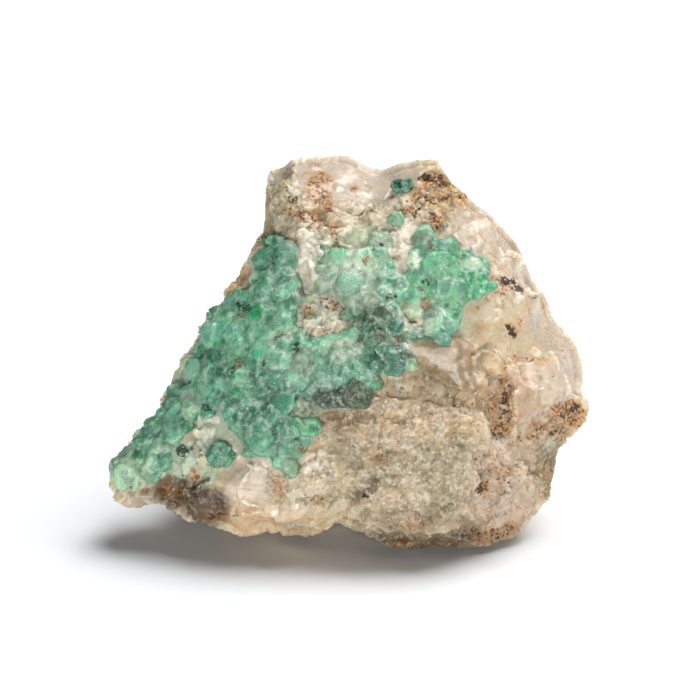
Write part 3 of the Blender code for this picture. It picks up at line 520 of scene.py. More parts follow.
def fill(tree, socket, value):
    """Sets the socket to a plain value, or wires it."""
    if isinstance(value, bpy.types.NodeSocket):
        wire(tree, value, socket)
    elif isinstance(value, tuple) and len(value) < len(socket.default_value):
        socket.default_value = (*value, 1.0)
    else:
        socket.default_value = value


def fill_all(tree, node, inputs):
    for key, value in inputs.items():
        fill(tree, node.inputs[key], value)


def add(tree, kind, inputs=None, **settings):
    """A new node with its settings made and its inputs filled."""
    made = tree.nodes.new(kind)
    for key, value in settings.items():
        setattr(made, key, value)
    fill_all(tree, made, inputs or {})
    return made


def math_node(tree, operation, *values, clamp=False):
    return add(tree, "ShaderNodeMath", dict(enumerate(values)), operation=operation, use_clamp=clamp).outputs[0]


def times(tree, first, second):
    return math_node(tree, "MULTIPLY", first, second)


def times_plus(tree, first, second, third):
    return math_node(tree, "MULTIPLY_ADD", first, second, third)


def mix_colour(tree, share, first, second):
    inputs = {0: share, 6: first, 7: second}
    return add(tree, "ShaderNodeMix", inputs, data_type="RGBA", blend_type="MIX").outputs[2]


def attribute(tree, name, output="Fac"):
    return add(tree, "ShaderNodeAttribute", attribute_name=name).outputs[output]


def vector_math(tree, operation, *values):
    made = add(tree, "ShaderNodeVectorMath", dict(enumerate(values)), operation=operation)
    return made.outputs["Value" if operation == "DOT_PRODUCT" else "Vector"]


def scaled_colour(tree, colour, factor):
    return add(tree, "ShaderNodeVectorMath", {0: colour, "Scale": factor}, operation="SCALE").outputs[0]


def new_group(name, kind, inputs, outputs):
    """An empty node group with sockets given as name, kind and value. Returns it, its start and its end."""
    group = bpy.data.node_groups.new(name, kind)
    for side, sockets in (("INPUT", inputs), ("OUTPUT", outputs)):
        for label, socket, *value in sockets:
            made = group.interface.new_socket(label, in_out=side, socket_type="NodeSocket" + socket)
            if value:
                made.default_value = value[0]
    return group, add(group, "NodeGroupInput"), add(group, "NodeGroupOutput")


def broken_grain():
    """Grain of a broken crystalline mass: flat faces that each tilt their own way, and a value for each."""
    group, start, end = new_group(
        "broken grain", "ShaderNodeTree", [("Grain size", "Float", 0.0005), ("Tilt", "Float", 0.2)],
        [("Height", "Float"), ("Value", "Float"), ("Normal", "Vector")])
    place = add(group, "ShaderNodeTexCoord").outputs["Object"]
    scale = math_node(group, "DIVIDE", 1.0, start.outputs["Grain size"])
    cells = add(group, "ShaderNodeTexVoronoi", {"Vector": place, "Scale": scale}, feature="F1").outputs
    middle = scaled_colour(group, cells["Position"], scale)
    away = vector_math(group, "SUBTRACT", scaled_colour(group, place, scale), middle)
    tilt = vector_math(group, "SUBTRACT", cells["Color"], (0.5, 0.5, 0.5))
    leaning = scaled_colour(group, tilt, start.outputs["Tilt"])
    leaning = vector_math(group, "ADD", add(group, "ShaderNodeNewGeometry").outputs["Normal"], leaning)
    fill_all(group, end, {
        "Height": vector_math(group, "DOT_PRODUCT", away, tilt), "Normal": vector_math(group, "NORMALIZE", leaning),
        "Value": add(group, "ShaderNodeSeparateColor", {0: cells["Color"]}).outputs[0]})
    return group


def clouds(tree, size, detail=3.0, roughness=0.55):
    place = add(tree, "ShaderNodeTexCoord").outputs["Object"]
    inputs = {"Vector": place, "Scale": 1.0 / size, "Detail": detail, "Roughness": roughness}
    return add(tree, "ShaderNodeTexNoise", inputs).outputs["Fac"]


def span(tree, value, low, high, to_low=0.0, to_high=1.0):
    ends = {"Value": value, "From Min": low, "From Max": high, "To Min": to_low, "To Max": to_high}
    return add(tree, "ShaderNodeMapRange", ends).outputs[0]


def iron_stain():
    """Iron stain: an orange halo, and specks of brown and black in the middle of it."""
    group, start, end = new_group("iron stain", "ShaderNodeTree", [("Rust", "Float"), ("Dark", "Float")],
                                  [("Halo", "Float"), ("Specks", "Float"), ("Black", "Float")])
    wide = clouds(group, 0.0013, 4.0, 0.65)
    both = times_plus(group, wide, 0.5, clouds(group, 0.0004, 1.6, 0.6))
    halo = times_plus(group, start.outputs["Rust"], 0.42, wide)
    specks = times_plus(group, start.outputs["Rust"], 0.43, both)
    black = times_plus(group, start.outputs["Dark"], 0.50, both)
    fill_all(group, end, {"Halo": span(group, halo, 0.68, 1.0), "Specks": span(group, specks, 1.14, 1.19),
                          "Black": span(group, black, 1.09, 1.14)})
    return group


GRAIN = broken_grain()
STAIN = iron_stain()


def use(tree, group, **values):
    made = add(tree, "ShaderNodeGroup", node_tree=group)
    for key, value in values.items():
        fill(tree, made.inputs[key.replace("_", " ")], value)
    return made.outputs


def new_material(name):
    made = bpy.data.materials.new(name)
    made.use_nodes = True
    tree = made.node_tree
    return made, tree, tree.nodes["Principled BSDF"]


def bumped(tree, shader, height, base):
    bump = add(tree, "ShaderNodeBump", {"Strength": 1.0, "Distance": 1.0, "Height": height, "Normal": base})
    wire(tree, bump.outputs[0], shader.inputs["Normal"])


def stained(tree, colour, stain, layers):
    """The colour under the layers of a stain: for each its mask, its strength and its own colour."""
    for mask, strength, own in layers:
        colour = mix_colour(tree, times(tree, stain[mask], strength), colour, own)
    return colour


def dressed(piece, look):
    piece.data.materials.clear()
    piece.data.materials.append(look)


stone_look, tree, shader = new_material("sugary quartz and feldspar")
sugar = attribute(tree, "sugary")
glass = attribute(tree, "glassy")
fine = use(tree, GRAIN, Grain_size=0.00036, Tilt=times_plus(tree, sugar, 0.45, 0.06))
coarse = use(tree, GRAIN, Grain_size=0.0012)
colour = attribute(tree, "tint", "Color")
grey = add(tree, "ShaderNodeRGBToBW", {0: colour}).outputs[0]
milk = span(tree, clouds(tree, 0.0026, 4.0, 0.6), 0.50, 0.72, 0.0, 0.55)
milk = times(tree, milk, span(tree, grey, 0.12, 0.32))
colour = mix_colour(tree, milk, colour, tone(226, 214, 196))
soil = span(tree, clouds(tree, 0.0034, 5.0, 0.65), 0.52, 0.75, 0.0, 0.6)
soil = times(tree, soil, times_plus(tree, glass, -0.6, 1.0))
colour = mix_colour(tree, soil, colour, tone(160, 136, 104))
uneven = times(tree, span(tree, fine["Value"], 0.0, 1.0, -0.13, 0.13), times_plus(tree, glass, -0.85, 1.0))
uneven = math_node(tree, "ADD", math_node(tree, "ADD", uneven, 1.0), attribute(tree, "own"))
colour = scaled_colour(tree, colour, uneven)
speck = times(tree, math_node(tree, "GREATER_THAN", fine["Value"], 0.80), sugar)
colour = mix_colour(tree, times(tree, speck, 0.3), colour, tone(236, 230, 214))
dim = times(tree, math_node(tree, "LESS_THAN", fine["Value"], 0.16), sugar)
colour = mix_colour(tree, times(tree, dim, 0.2), colour, tone(122, 104, 78))
behind = attribute(tree, "behind")
pale = times(tree, behind, span(tree, clouds(tree, 0.009, 4.0), 0.50, 0.62, 0.0, 0.6))
colour = mix_colour(tree, pale, colour, tone(222, 200, 180))
back_stain = times(tree, behind, span(tree, clouds(tree, 0.012, 3.0), 0.48, 0.62, 0.0, 0.85))
rust_in = math_node(tree, "MAXIMUM", attribute(tree, "rust"), back_stain)
dark_in = math_node(tree, "MAXIMUM", attribute(tree, "dark"), times(tree, back_stain, 0.5))
stain = use(tree, STAIN, Rust=rust_in, Dark=dark_in)
colour = stained(tree, colour, stain, (
    ("Halo", span(tree, grey, 0.06, 0.30, 0.4, 0.8), tone(190, 134, 76)), ("Specks", 0.85, tone(98, 62, 34)),
    ("Black", 0.9, tone(46, 40, 34))))
rough = times_plus(tree, glass, -0.22, span(tree, fine["Value"], 0.0, 1.0, 0.30, 0.60))
rough = math_node(tree, "ADD", rough, times(tree, stain["Specks"], 0.25), clamp=True)
fill_all(tree, shader, {
    "Base Color": colour, "Roughness": rough, "Subsurface Weight": times_plus(tree, glass, 0.3, 0.6),
    "Subsurface Radius": (0.0028, 0.0022, 0.0016), "Subsurface Scale": 1.0})
height = times(tree, fine["Height"], times_plus(tree, sugar, 0.00011, 0.00004))
height = times_plus(tree, coarse["Height"], 0.00016, height)
height = times(tree, height, times_plus(tree, glass, -0.8, 1.0))
bumped(tree, shader, height, fine["Normal"])
dressed(stone, stone_look)
stone.data.set_sharp_from_angle(angle=math.radians(32))
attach(stone, "root")
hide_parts("matrix")

# The sugary grains
# Small broken grains of quartz that stand out of the stone where it crumbled: on the lobe, the
# knobs, the seams and over much of its back. One tree sets them on a sheet copied from the stone.


def grain_tree():
    """Grains set over a surface, each turned and sized at random, with the surface's own colours."""
    tree, start, end = new_group("scattered grains", "GeometryNodeTree", [
        ("Geometry", "Geometry"), ("Shapes", "Collection"), ("Spacing", "Float", 0.0012),
        ("Density", "Float", 900000.0), ("Smallest", "Float", 0.5), ("Largest", "Float", 1.0), ("Lean", "Float", 0.6),
        ("Shade", "Float", 0.2), ("Seed", "Int", 1), ("Material", "Material")], [("Geometry", "Geometry")])
    given = start.outputs
    share = add(tree, "GeometryNodeInputNamedAttribute", {"Name": "share"}, data_type="FLOAT")
    spread = add(tree, "GeometryNodeDistributePointsOnFaces", {
        "Mesh": given["Geometry"], "Distance Min": given["Spacing"], "Density Max": given["Density"],
        "Seed": given["Seed"], "Density Factor": share.outputs["Attribute"]}, distribute_method="POISSON")
    pick = add(tree, "GeometryNodeCollectionInfo", {
        "Separate Children": True, "Reset Children": True, "Collection": given["Shapes"]})
    lean = add(tree, "FunctionNodeRandomValue", data_type="FLOAT_VECTOR")
    fill_all(tree, lean, {"Min": times(tree, given["Lean"], -1.0), "Max": given["Lean"], "Seed": given["Seed"]})
    axis = vector_math(tree, "ADD", spread.outputs["Normal"], lean.outputs["Value"])
    turn = add(tree, "FunctionNodeAlignRotationToVector", {"Vector": axis}, axis="Z")
    spin = add(tree, "FunctionNodeRandomValue", {3: math.tau}, data_type="FLOAT")
    about = add(tree, "FunctionNodeAxisAngleToRotation", {"Axis": (0.0, 0.0, 1.0), "Angle": spin.outputs[1]})
    whole = add(tree, "FunctionNodeRotateRotation", rotation_space="LOCAL")
    fill_all(tree, whole, {"Rotation": turn.outputs[0], "Rotate By": about.outputs[0]})
    size = add(tree, "FunctionNodeRandomValue", data_type="FLOAT")
    fill_all(tree, size, {2: given["Smallest"], 3: given["Largest"], "Seed": given["Seed"]})
    place = add(tree, "GeometryNodeInstanceOnPoints", {
        "Points": spread.outputs["Points"], "Pick Instance": True, "Instance": pick.outputs[0],
        "Rotation": whole.outputs[0], "Scale": size.outputs[1]})
    shade = add(tree, "FunctionNodeRandomValue", data_type="FLOAT")
    fill_all(tree, shade, {2: times(tree, given["Shade"], -1.0), 3: given["Shade"]})
    keep = add(tree, "GeometryNodeStoreNamedAttribute", data_type="FLOAT", domain="INSTANCE")
    fill_all(tree, keep, {"Name": "own", "Geometry": place.outputs[0], "Value": shade.outputs[1]})
    real = add(tree, "GeometryNodeRealizeInstances", {0: keep.outputs[0]})
    look = add(tree, "GeometryNodeSetMaterial", {"Geometry": real.outputs[0], "Material": given["Material"]})
    wire(tree, look.outputs[0], end.inputs[0])
    return tree


GRAINS = grain_tree()


def shape_set(name, count, corners_of):
    """A collection of small closed shapes for the tree to pick from."""
    made = bpy.data.collections.new(name)
    for i in range(count):
        shape = bmesh.new()
        add_hull(shape, corners_of(), Matrix.Identity(4))
        piece = piece_of(f"{name} {i}", shape)
        bpy.context.scene.collection.objects.unlink(piece)
        made.objects.link(piece)
    return made


def sheet_of(name, share):
    """The stone's surface where the share is above nothing, as an open sheet."""
    shape = bmesh.new()
    shape.from_mesh(stone.data)
    bmesh.ops.delete(shape, geom=[v for v in shape.verts if share[v.index] < 0.02], context="VERTS")
    sheet = piece_of(name, shape)
    floats(sheet.data, "share", share[share >= 0.02])
    return sheet


def scattered(sheet, **values):
    """The sheet turned into the grains that are set over it."""
    step = sheet.modifiers.new("scatter", "NODES")
    step.node_group = GRAINS
    for item in GRAINS.interface.items_tree:
        if item.in_out == "INPUT" and item.name in values:
            step[item.identifier] = values[item.name]
    return settled(sheet)


def grain_corners():
    wide = draw.uniform(0.32, 0.42)
    return [c - Vector((0.0, 0.0, 0.19)) for c in chunk(draw, wide, wide * 0.9, 0.28, 14)]


quartz_shapes = shape_set("quartz grain", 8, grain_corners)
lifted = 0.7 * smooth_step(0.6, 1.4, points[:, 2] / MM)
rim = 1.0 - 0.75 * smooth_step(0.45, 0.1, np.abs(normals(stone.data) @ np.array(OUT)))
sugar_share = np.clip(sugary * 1.1 + 0.22 * (1.0 - front), 0.0, 1.0) * rock * lifted * rim
sugar_share = np.where(sugar_share > 0.12, sugar_share, 0.0)
sugar_grains = scattered(sheet_of("quartz_grains", sugar_share), Shapes=quartz_shapes, Spacing=0.00042, Density=4.0e6,
                         Smallest=0.4, Largest=0.85, Lean=0.4, Shade=0.06, Seed=3, Material=stone_look)
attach(sugar_grains, "root")

# The vein
# Hundreds of short six-sided emerald grains grown into each other across the front. The ones that
# can be told apart are placed one by one, and the rest are scattered between them before all fuse.
VIVID = tone(62, 176, 118, 1.1)
BRIGHT = tone(110, 180, 130, 1.1)
MID = tone(106, 178, 142, 1.1)
DEEP = tone(54, 124, 92, 1.1)
DARKEST = tone(62, 70, 48, 1.1)
LIGHT = tone(122, 180, 146, 1.1)
PALE = tone(168, 198, 160, 1.1)
MILKY = tone(196, 206, 180, 1.1)
TEAL = tone(78, 144, 112, 1.1)
SMOKY = tone(92, 112, 86, 1.1)
# across, up, half width, half height, how far it stands out, colour
KEY_GRAINS = [
    (-11.5, 7.0, 1.35, 1.3, 1.1, VIVID), (-16.2, 7.1, 1.2, 1.1, 1.0, MID), (-16.8, 1.4, 1.5, 1.3, 1.1, DEEP),
    (-13.6, -1.2, 1.35, 1.4, 1.3, LIGHT), (-18.4, -2.3, 1.1, 1.7, 1.2, LIGHT), (-19.1, 0.4, 1.5, 1.3, 1.0, LIGHT),
    (-13.2, -3.1, 1.5, 1.0, 1.0, TEAL), (-9.1, 1.4, 1.2, 1.2, 1.2, LIGHT), (-11.1, 2.2, 1.0, 0.9, 1.0, VIVID),
    (-12.1, 3.8, 0.9, 1.0, 0.9, TEAL), (-8.3, 6.4, 1.0, 0.8, 0.9, MID), (-8.4, 3.5, 1.2, 0.8, 0.9, SMOKY),
    (-5.9, 0.6, 1.45, 2.3, 1.3, PALE), (-3.4, -0.8, 1.5, 1.5, 1.4, LIGHT), (-6.6, 2.4, 1.0, 0.9, 0.9, DEEP),
    (-7.0, -0.9, 1.0, 0.9, 1.0, LIGHT), (-20.8, -6.6, 1.3, 1.4, 1.2, DEEP), (-22.1, -8.5, 1.2, 0.9, 1.0, VIVID),
    (-26.1, -10.9, 1.1, 1.1, 1.0, DEEP), (-24.1, -11.1, 1.2, 1.1, 1.0, TEAL), (-26.3, -8.4, 0.9, 0.9, 1.0, MILKY),
    (-28.4, -13.3, 1.25, 1.6, 1.2, PALE), (-20.9, -10.1, 0.7, 0.8, 0.8, DARKEST), (-14.6, -5.6, 1.1, 1.0, 1.0, MID),
    (-12.1, -6.5, 1.2, 1.0, 1.1, LIGHT), (-11.2, -8.6, 1.75, 1.45, 1.3, TEAL), (-4.9, -7.0, 1.35, 1.2, 1.3, MID),
    (-8.1, -7.0, 1.3, 1.1, 1.0, DEEP), (-9.0, -9.5, 1.0, 1.6, 0.9, TEAL), (-7.5, -11.9, 1.0, 1.5, 1.1, PALE),
    (-7.0, -9.1, 1.0, 0.9, 0.9, SMOKY), (-2.9, -3.4, 1.5, 1.3, 1.2, DARKEST), (1.0, -3.0, 1.8, 1.8, 1.2, DARKEST),
    (3.0, -1.0, 0.7, 0.7, 0.8, DARKEST), (4.2, 1.4, 1.8, 1.2, 1.0, DEEP), (6.4, 1.5, 1.5, 1.0, 0.9, DARKEST),
    (7.6, 0.6, 0.7, 0.8, 0.8, PALE), (-1.1, 3.0, 1.1, 0.8, 0.9, MILKY), (-1.6, 1.6, 1.0, 0.9, 0.8, MILKY),
    (2.5, 4.8, 1.1, 1.0, 1.0, TEAL), (5.1, 5.8, 1.4, 1.4, 1.2, DEEP), (3.8, 6.9, 1.5, 1.3, 1.0, SMOKY),
    (4.1, 2.6, 1.2, 1.0, 0.9, MID), (6.2, 10.3, 0.95, 1.1, 1.1, LIGHT), (0.0, 11.1, 1.6, 1.3, 1.1, LIGHT),
    (-3.1, 11.8, 1.5, 1.3, 0.9, PALE), (-1.4, 14.0, 1.3, 1.2, 1.1, LIGHT), (-3.2, 14.9, 0.8, 0.8, 0.8, SMOKY),
    (3.8, 16.2, 1.6, 1.2, 1.1, PALE), (3.4, 14.1, 0.9, 1.0, 0.9, LIGHT), (8.9, 16.5, 1.4, 1.2, 1.2, PALE),
    (11.1, 15.4, 1.3, 0.9, 1.2, LIGHT), (11.1, 13.3, 2.1, 1.5, 1.4, MID), (7.9, 13.4, 1.0, 1.2, 0.9, MILKY),
    (8.7, 11.4, 1.3, 1.1, 1.1, MID), (11.6, 10.0, 1.1, 1.4, 1.1, MID), (13.3, 9.9, 1.1, 1.2, 1.1, MID),
    (14.9, 11.5, 1.1, 1.0, 1.1, VIVID), (15.1, 13.1, 1.5, 1.0, 1.1, MILKY), (16.9, 12.5, 0.6, 0.8, 0.9, LIGHT),
    (16.8, 10.4, 1.6, 0.8, 1.1, VIVID), (15.5, 9.5, 1.3, 0.8, 1.0, MID), (12.5, 7.4, 1.1, 1.1, 1.2, VIVID),
    (10.4, 6.5, 1.3, 1.1, 1.0, PALE), (12.4, 5.3, 1.1, 0.9, 0.9, LIGHT), (7.9, 7.3, 1.2, 1.1, 0.9, MILKY),
    (-10.2, 13.6, 1.9, 1.8, 1.0, TEAL), (-7.9, 14.0, 1.4, 1.8, 1.2, TEAL), (-9.8, 10.7, 1.9, 1.6, 1.1, TEAL),
    (-7.5, 10.8, 1.4, 1.8, 1.1, MID), (-6.3, 9.4, 0.6, 1.2, 0.9, DARKEST), (-9.2, 16.0, 1.4, 0.7, 0.9, LIGHT),
    (-11.5, 11.3, 1.1, 1.1, 0.9, PALE), (-14.2, 4.4, 1.4, 1.3, 1.0, MID), (-14.6, 8.6, 1.3, 1.1, 0.9, MID),
    (-17.6, 4.6, 1.3, 1.3, 1.0, MID), (-22.0, -4.4, 1.2, 1.4, 1.1, TEAL), (-24.4, -8.0, 1.1, 1.1, 1.0, MID),
    (-4.8, 6.1, 0.9, 0.8, 0.7, SMOKY), (-0.6, 6.6, 0.9, 0.8, 0.7, SMOKY),
]
ZONES = [
    (TEAL, (-9.0, 12.0, 3.4, 4.6, 0, 1.0)), (MID, (-14.0, 5.0, 4.6, 4.0, 0, 1.0)),
    (MID, (-11.0, 1.6, 5.0, 3.0, 0, 1.0)), (TEAL, (-10.6, -2.6, 4.6, 3.4, 0, 1.0)),
    (MID, (-19.0, -2.0, 3.4, 4.6, 0, 0.9)), (MID, (-24.5, -9.5, 4.0, 3.4, 0, 1.0)),
    (PALE, (-27.2, -12.6, 2.6, 2.4, 0, 0.9)), (TEAL, (-11.0, -7.0, 4.0, 3.0, 0, 1.0)),
    (LIGHT, (-5.0, 0.0, 3.0, 3.0, 0, 0.9)), (DARKEST, (-1.0, -3.6, 4.0, 1.8, 0, 1.0)),
    (SMOKY, (3.6, 5.6, 4.0, 3.6, 0, 1.0)), (DEEP, (4.6, 1.2, 3.0, 1.6, 0, 1.0)),
    (MILKY, (0.0, 11.0, 4.6, 3.0, 0, 0.75)), (MILKY, (-5.4, 11.4, 2.0, 3.0, 0, 0.9)),
    (MILKY, (0.6, 13.4, 3.4, 1.6, 0, 0.8)), (MILKY, (5.8, 15.6, 1.6, 2.6, 0, 0.9)),
    (PALE, (3.4, 15.0, 2.0, 2.4, 0, 0.8)), (BRIGHT, (12.6, 11.0, 4.6, 4.0, 0, 1.0)),
    (VIVID, (16.0, 10.8, 2.4, 2.0, 0, 0.9)), (LIGHT, (9.0, 14.6, 2.6, 2.4, 0, 0.8)),
    (MILKY, (8.6, 6.6, 2.6, 2.0, 0, 0.8)), (MILKY, (-1.0, 2.6, 2.6, 1.4, 0, 0.8)),
    (PALE, (-19.8, -4.4, 1.2, 2.2, -20, 0.7)), (PALE, (-23.6, -9.6, 2.4, 0.8, 30, 0.7)),
    (VIVID, (-15.8, 2.6, 2.6, 2.0, 30, 0.6)), (PALE, (-8.4, 4.6, 2.2, 0.9, 20, 0.7)),
]
CRUST_VOXEL = 0.195
# the broken chips of colour between the grains that are placed one by one
CHIP_COUNT = 1400
surface = BVHTree.FromObject(stone, bpy.context.evaluated_depsgraph_get())


def crystal_shape(draw, wide, high, tall, flat=False):
    """Corners of a worn six-sided crystal about its own middle, standing along Z. Sizes in mm."""
    corners = []
    slant = (0.0, 0.0) if flat else (draw.uniform(-0.35, 0.35), draw.uniform(-0.35, 0.35))
    rounds = ((-1.3, 0.9), (0.7, 1.0), (1.0, 0.9)) if flat else ((-1.3, 0.8), (0.25, 1.0), (0.7, 0.86), (1.0, 0.5))
    for level, reach in rounds:
        for i in range(6):
            angle = math.radians(60 * i + draw.uniform(-11, 11))
            grown = reach * draw.uniform(0.84, 1.08)
            x, y = wide * grown * math.cos(angle), high * grown * math.sin(angle)
            rise = tall * level + slant[0] * x + slant[1] * y if level > 0 else level
            corners.append(Vector((x, y, rise)))
    return corners


def seated(draw, across, up, lean=0.35):
    spot, normal = surface.ray_cast(face(across, up, IN_FRONT), -OUT)[:2]
    axis = (normal * 0.5 + OUT + Vector([draw.uniform(-lean, lean) for _ in range(3)])).normalized()
    return Matrix.Translation(spot) @ axis.to_track_quat("Z", "Y").to_matrix().to_4x4()


draw = random.Random(41)
shape = bmesh.new()
layer = shape.verts.layers.float_color.new("tint")
for across, up, wide, high, tall, colour in KEY_GRAINS:
    own = [c * draw.uniform(0.88, 1.14) for c in colour]
    corners = crystal_shape(draw, wide * 1.2, high * 1.2, tall * 0.62)
    add_hull(shape, corners, seated(draw, across, up), layer, own)
crust = piece_of("emerald_grains", shape)

in_vein = np.where(vein > 0.0, 1.0, 0.0)
slab = sheet_of("between", in_vein)
slab_points = coords(slab.data)
broken = flat_chips(slab_points, 1.9, 0.30, 0.12, 13) + flat_chips(slab_points, 0.9, 0.20, 0.05, 15)
edge_calm = smooth_step(0.0, 1.2, vein[in_vein > 0])
lift_by = (0.5 * edge_calm + broken * (0.3 + 0.7 * edge_calm) - 0.10) * MM
move(slab, slab_points + normals(slab.data) * lift_by[:, None])
thick = slab.modifiers.new("thick", "SOLIDIFY")
thick.thickness = 1.2 * MM
thick.offset = -1.0
settled(slab)


def small_crystal():
    wide = draw.uniform(1.2, 1.7)
    return crystal_shape(draw, wide, wide * draw.uniform(0.7, 1.1), draw.uniform(0.35, 0.6))


between = scattered(sheet_of("small_crystals", in_vein), Shapes=shape_set("small crystal", 8, small_crystal),
                    Spacing=0.0019, Density=0.8e6, Smallest=0.65, Largest=1.15, Lean=0.35, Shade=0.0, Seed=4)


def bodies_of(mesh):
    """For each vertex, the number of the connected body that it belongs to."""
    pairs = edge_pairs(mesh)
    body = np.arange(len(mesh.vertices))
    while True:
        lowest = body.copy()
        np.minimum.at(lowest, pairs[:, 0], body[pairs[:, 1]])
        lowest = lowest[lowest]
        if (lowest == body).all():
            return body
        body = lowest


def joined(piece, *others):
    shape = bmesh.new()
    shape.from_mesh(piece.data)
    for other in others:
        shape.from_mesh(other.data)
        bpy.data.objects.remove(other)
    shape.to_mesh(piece.data)
    shape.free()
    return piece


placed = len(crust.data.vertices)
joined(crust, between)
grown = len(crust.data.vertices)
joined(crust, slab)
apart = crust.data
body = bodies_of(apart)
owner = np.array([body[polygon.vertices[0]] for polygon in apart.polygons])
own_tint = np.empty(len(apart.vertices) * 4)
apart.attributes["tint"].data.foreach_get("color", own_tint)
own_tint = own_tint.reshape(-1, 4)[:, :3]
tree_of_faces = BVHTree.FromObject(crust, bpy.context.evaluated_depsgraph_get())
remeshed(crust, CRUST_VOXEL)


def worn(piece, rounds):
    """The piece with its edges and corners worn soft. Returns its points."""
    soft = coords(piece.data)
    pairs = edge_pairs(piece.data)
    for _ in range(rounds):
        soft += 0.5 * (around(soft, pairs) - soft)
    move(piece, soft)
    return soft


crust_points = worn(crust, 2)
nearest = np.array([tree_of_faces.find_nearest(p)[2] for p in crust_points])
mine = owner[nearest]
chips = KDTree(CHIP_COUNT)
for i in range(CHIP_COUNT):
    chips.insert(face(draw.uniform(-32, 20), draw.uniform(-16, 19), draw.uniform(2, 15)), i)
chips.balance()
on_slab = mine >= grown
mine[on_slab] = [grown + chips.find(p)[1] for p in crust_points[on_slab]]
crust_spots = on_face(crust_points)
crust_wander = warped(crust_spots)
tint = np.tile(np.array(MID), (len(crust_spots), 1))
for colour, place in ZONES:
    tint = laid(tint, colour, patch(crust_spots, crust_wander, place))
key = mine < placed
tint[key] = 0.15 * tint[key] + 0.85 * own_tint[mine[key]]
shades = np.random.default_rng(8)
shade = shades.uniform(0.62, 1.34, mine.max() + 1)
veil = shades.uniform(-0.02, 0.04, mine.max() + 1)
tint = np.clip(tint * shade[mine][:, None] + veil[mine][:, None], 0.01, 1.0)
pairs = edge_pairs(crust.data)
seam = np.zeros((len(mine), 1))
seam[pairs[mine[pairs[:, 0]] != mine[pairs[:, 1]], 0]] = 1.0
for _ in range(2):
    seam = 0.5 * seam + 0.5 * around(seam, pairs)
    tint = 0.5 * tint + 0.5 * around(tint, pairs)
for name in [a.name for a in crust.data.attributes if a.name in ("tint", "seam")]:
    crust.data.attributes.remove(crust.data.attributes[name])
tints(crust.data, "tint", tint)
floats(crust.data, "seam", seam[:, 0])
floats(crust.data, "rust", most(crust_spots, crust_wander, RUST))
floats(crust.data, "dark", most(crust_spots, crust_wander, DARK))

ORANGE = tone(188, 134, 82)
RUST_BROWN = tone(104, 66, 36)
emerald_look, tree, shader = new_material("emerald")
milk = clouds(tree, 0.0011, 6.0, 0.68)
colour = attribute(tree, "tint", "Color")
grey = add(tree, "ShaderNodeRGBToBW", {0: colour}).outputs[0]
frost = times(tree, span(tree, milk, 0.50, 0.68, 0.0, 0.65), span(tree, grey, 0.05, 0.25, 0.35, 1.0))
colour = mix_colour(tree, frost, colour, tone(176, 208, 178, 1.1))
ink = span(tree, clouds(tree, 0.0015, 6.0, 0.66), 0.52, 0.66, 0.0, 0.7)
colour = mix_colour(tree, ink, colour, tone(44, 104, 74, 1.1))
flaw = clouds(tree, 0.00045, 3.0, 0.6)
veiled = times(tree, attribute(tree, "seam"), span(tree, flaw, 0.40, 0.62))
veiled = math_node(tree, "MULTIPLY", veiled, 0.7, clamp=True)
colour = mix_colour(tree, veiled, colour, tone(196, 216, 196, 1.1))
fleck_and_glint_noise = clouds(tree, 0.00022, 2.0, 0.5)
# pale flecks: partly white inclusions in the crystals, partly painted glints
colour = mix_colour(tree, span(tree, fleck_and_glint_noise, 0.62, 0.70, 0.0, 0.65), colour, tone(220, 232, 214, 1.1))
colour = mix_colour(tree, span(tree, fleck_and_glint_noise, 0.36, 0.28, 0.0, 0.4), colour, tone(50, 100, 74, 1.1))
stain = use(tree, STAIN, Rust=attribute(tree, "rust"), Dark=attribute(tree, "dark"))
colour = stained(tree, colour, stain, (
    ("Halo", 0.6, ORANGE), ("Specks", 0.8, RUST_BROWN), ("Black", 0.9, tone(34, 52, 40))))
fill_all(tree, shader, {
    "Base Color": colour, "Roughness": span(tree, milk, 0.35, 0.7, 0.16, 0.44), "Transmission Weight": 0.36,
    "IOR": 1.58, "Subsurface Weight": 0.5, "Subsurface Radius": (0.0006, 0.0013, 0.0009), "Subsurface Scale": 1.0})
facet = use(tree, GRAIN, Grain_size=0.0011, Tilt=0.5)
ripple = times_plus(tree, fleck_and_glint_noise, 0.00006, times(tree, flaw, 0.00010))
bumped(tree, shader, ripple, facet["Normal"])
absorb = add(tree, "ShaderNodeVolumeAbsorption", {"Color": (0.30, 0.88, 0.60), "Density": 220.0})
wire(tree, absorb.outputs[0], tree.nodes["Material Output"].inputs["Volume"])
dressed(crust, emerald_look)
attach(crust, "root")
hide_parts("emerald_crust")

# The single crystals
# Three emerald crystals stand alone in the stone, each in its own seat. The largest shows its
# six-sided end.
SINGLE = {
    "emerald_hexagon": (-16.1, -10.6, 1.9, 1.9, 0.9, TEAL), "emerald_top": (6.6, 23.0, 1.6, 1.05, 0.6, DEEP),
    "emerald_pale": (5.8, 18.8, 1.15, 1.05, 0.5, tone(146, 190, 152, 1.1)),
}
for name, (across, up, wide, high, tall, colour) in SINGLE.items():
    shape = bmesh.new()
    add_hull(shape, crystal_shape(draw, wide, high, tall, True), seated(draw, across, up, 0.12))
    single = remeshed(piece_of(name.replace("emerald", "crystal"), shape), 0.07)
    single_points = worn(single, 2)
    steps = flat_chips(single_points, 0.8, 0.22, 0.07, 21) * (0.4 if name == "emerald_pale" else 1.0)
    single_points += normals(single.data) * steps[:, None] * MM
    move(single, single_points)
    # the tint is lighter where a step stands out and darker where it sinks: painted light and shade on the broken
    # steps
    tints(single.data, "tint", np.array(colour) * (1.0 + 2.0 * steps[:, None]).clip(0.6, 1.5))
    floats(single.data, "dark", np.full(len(steps), 0.55 if name == "emerald_top" else 0.2))
    single.data.materials.append(emerald_look)
    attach(single, "root")
    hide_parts(name)

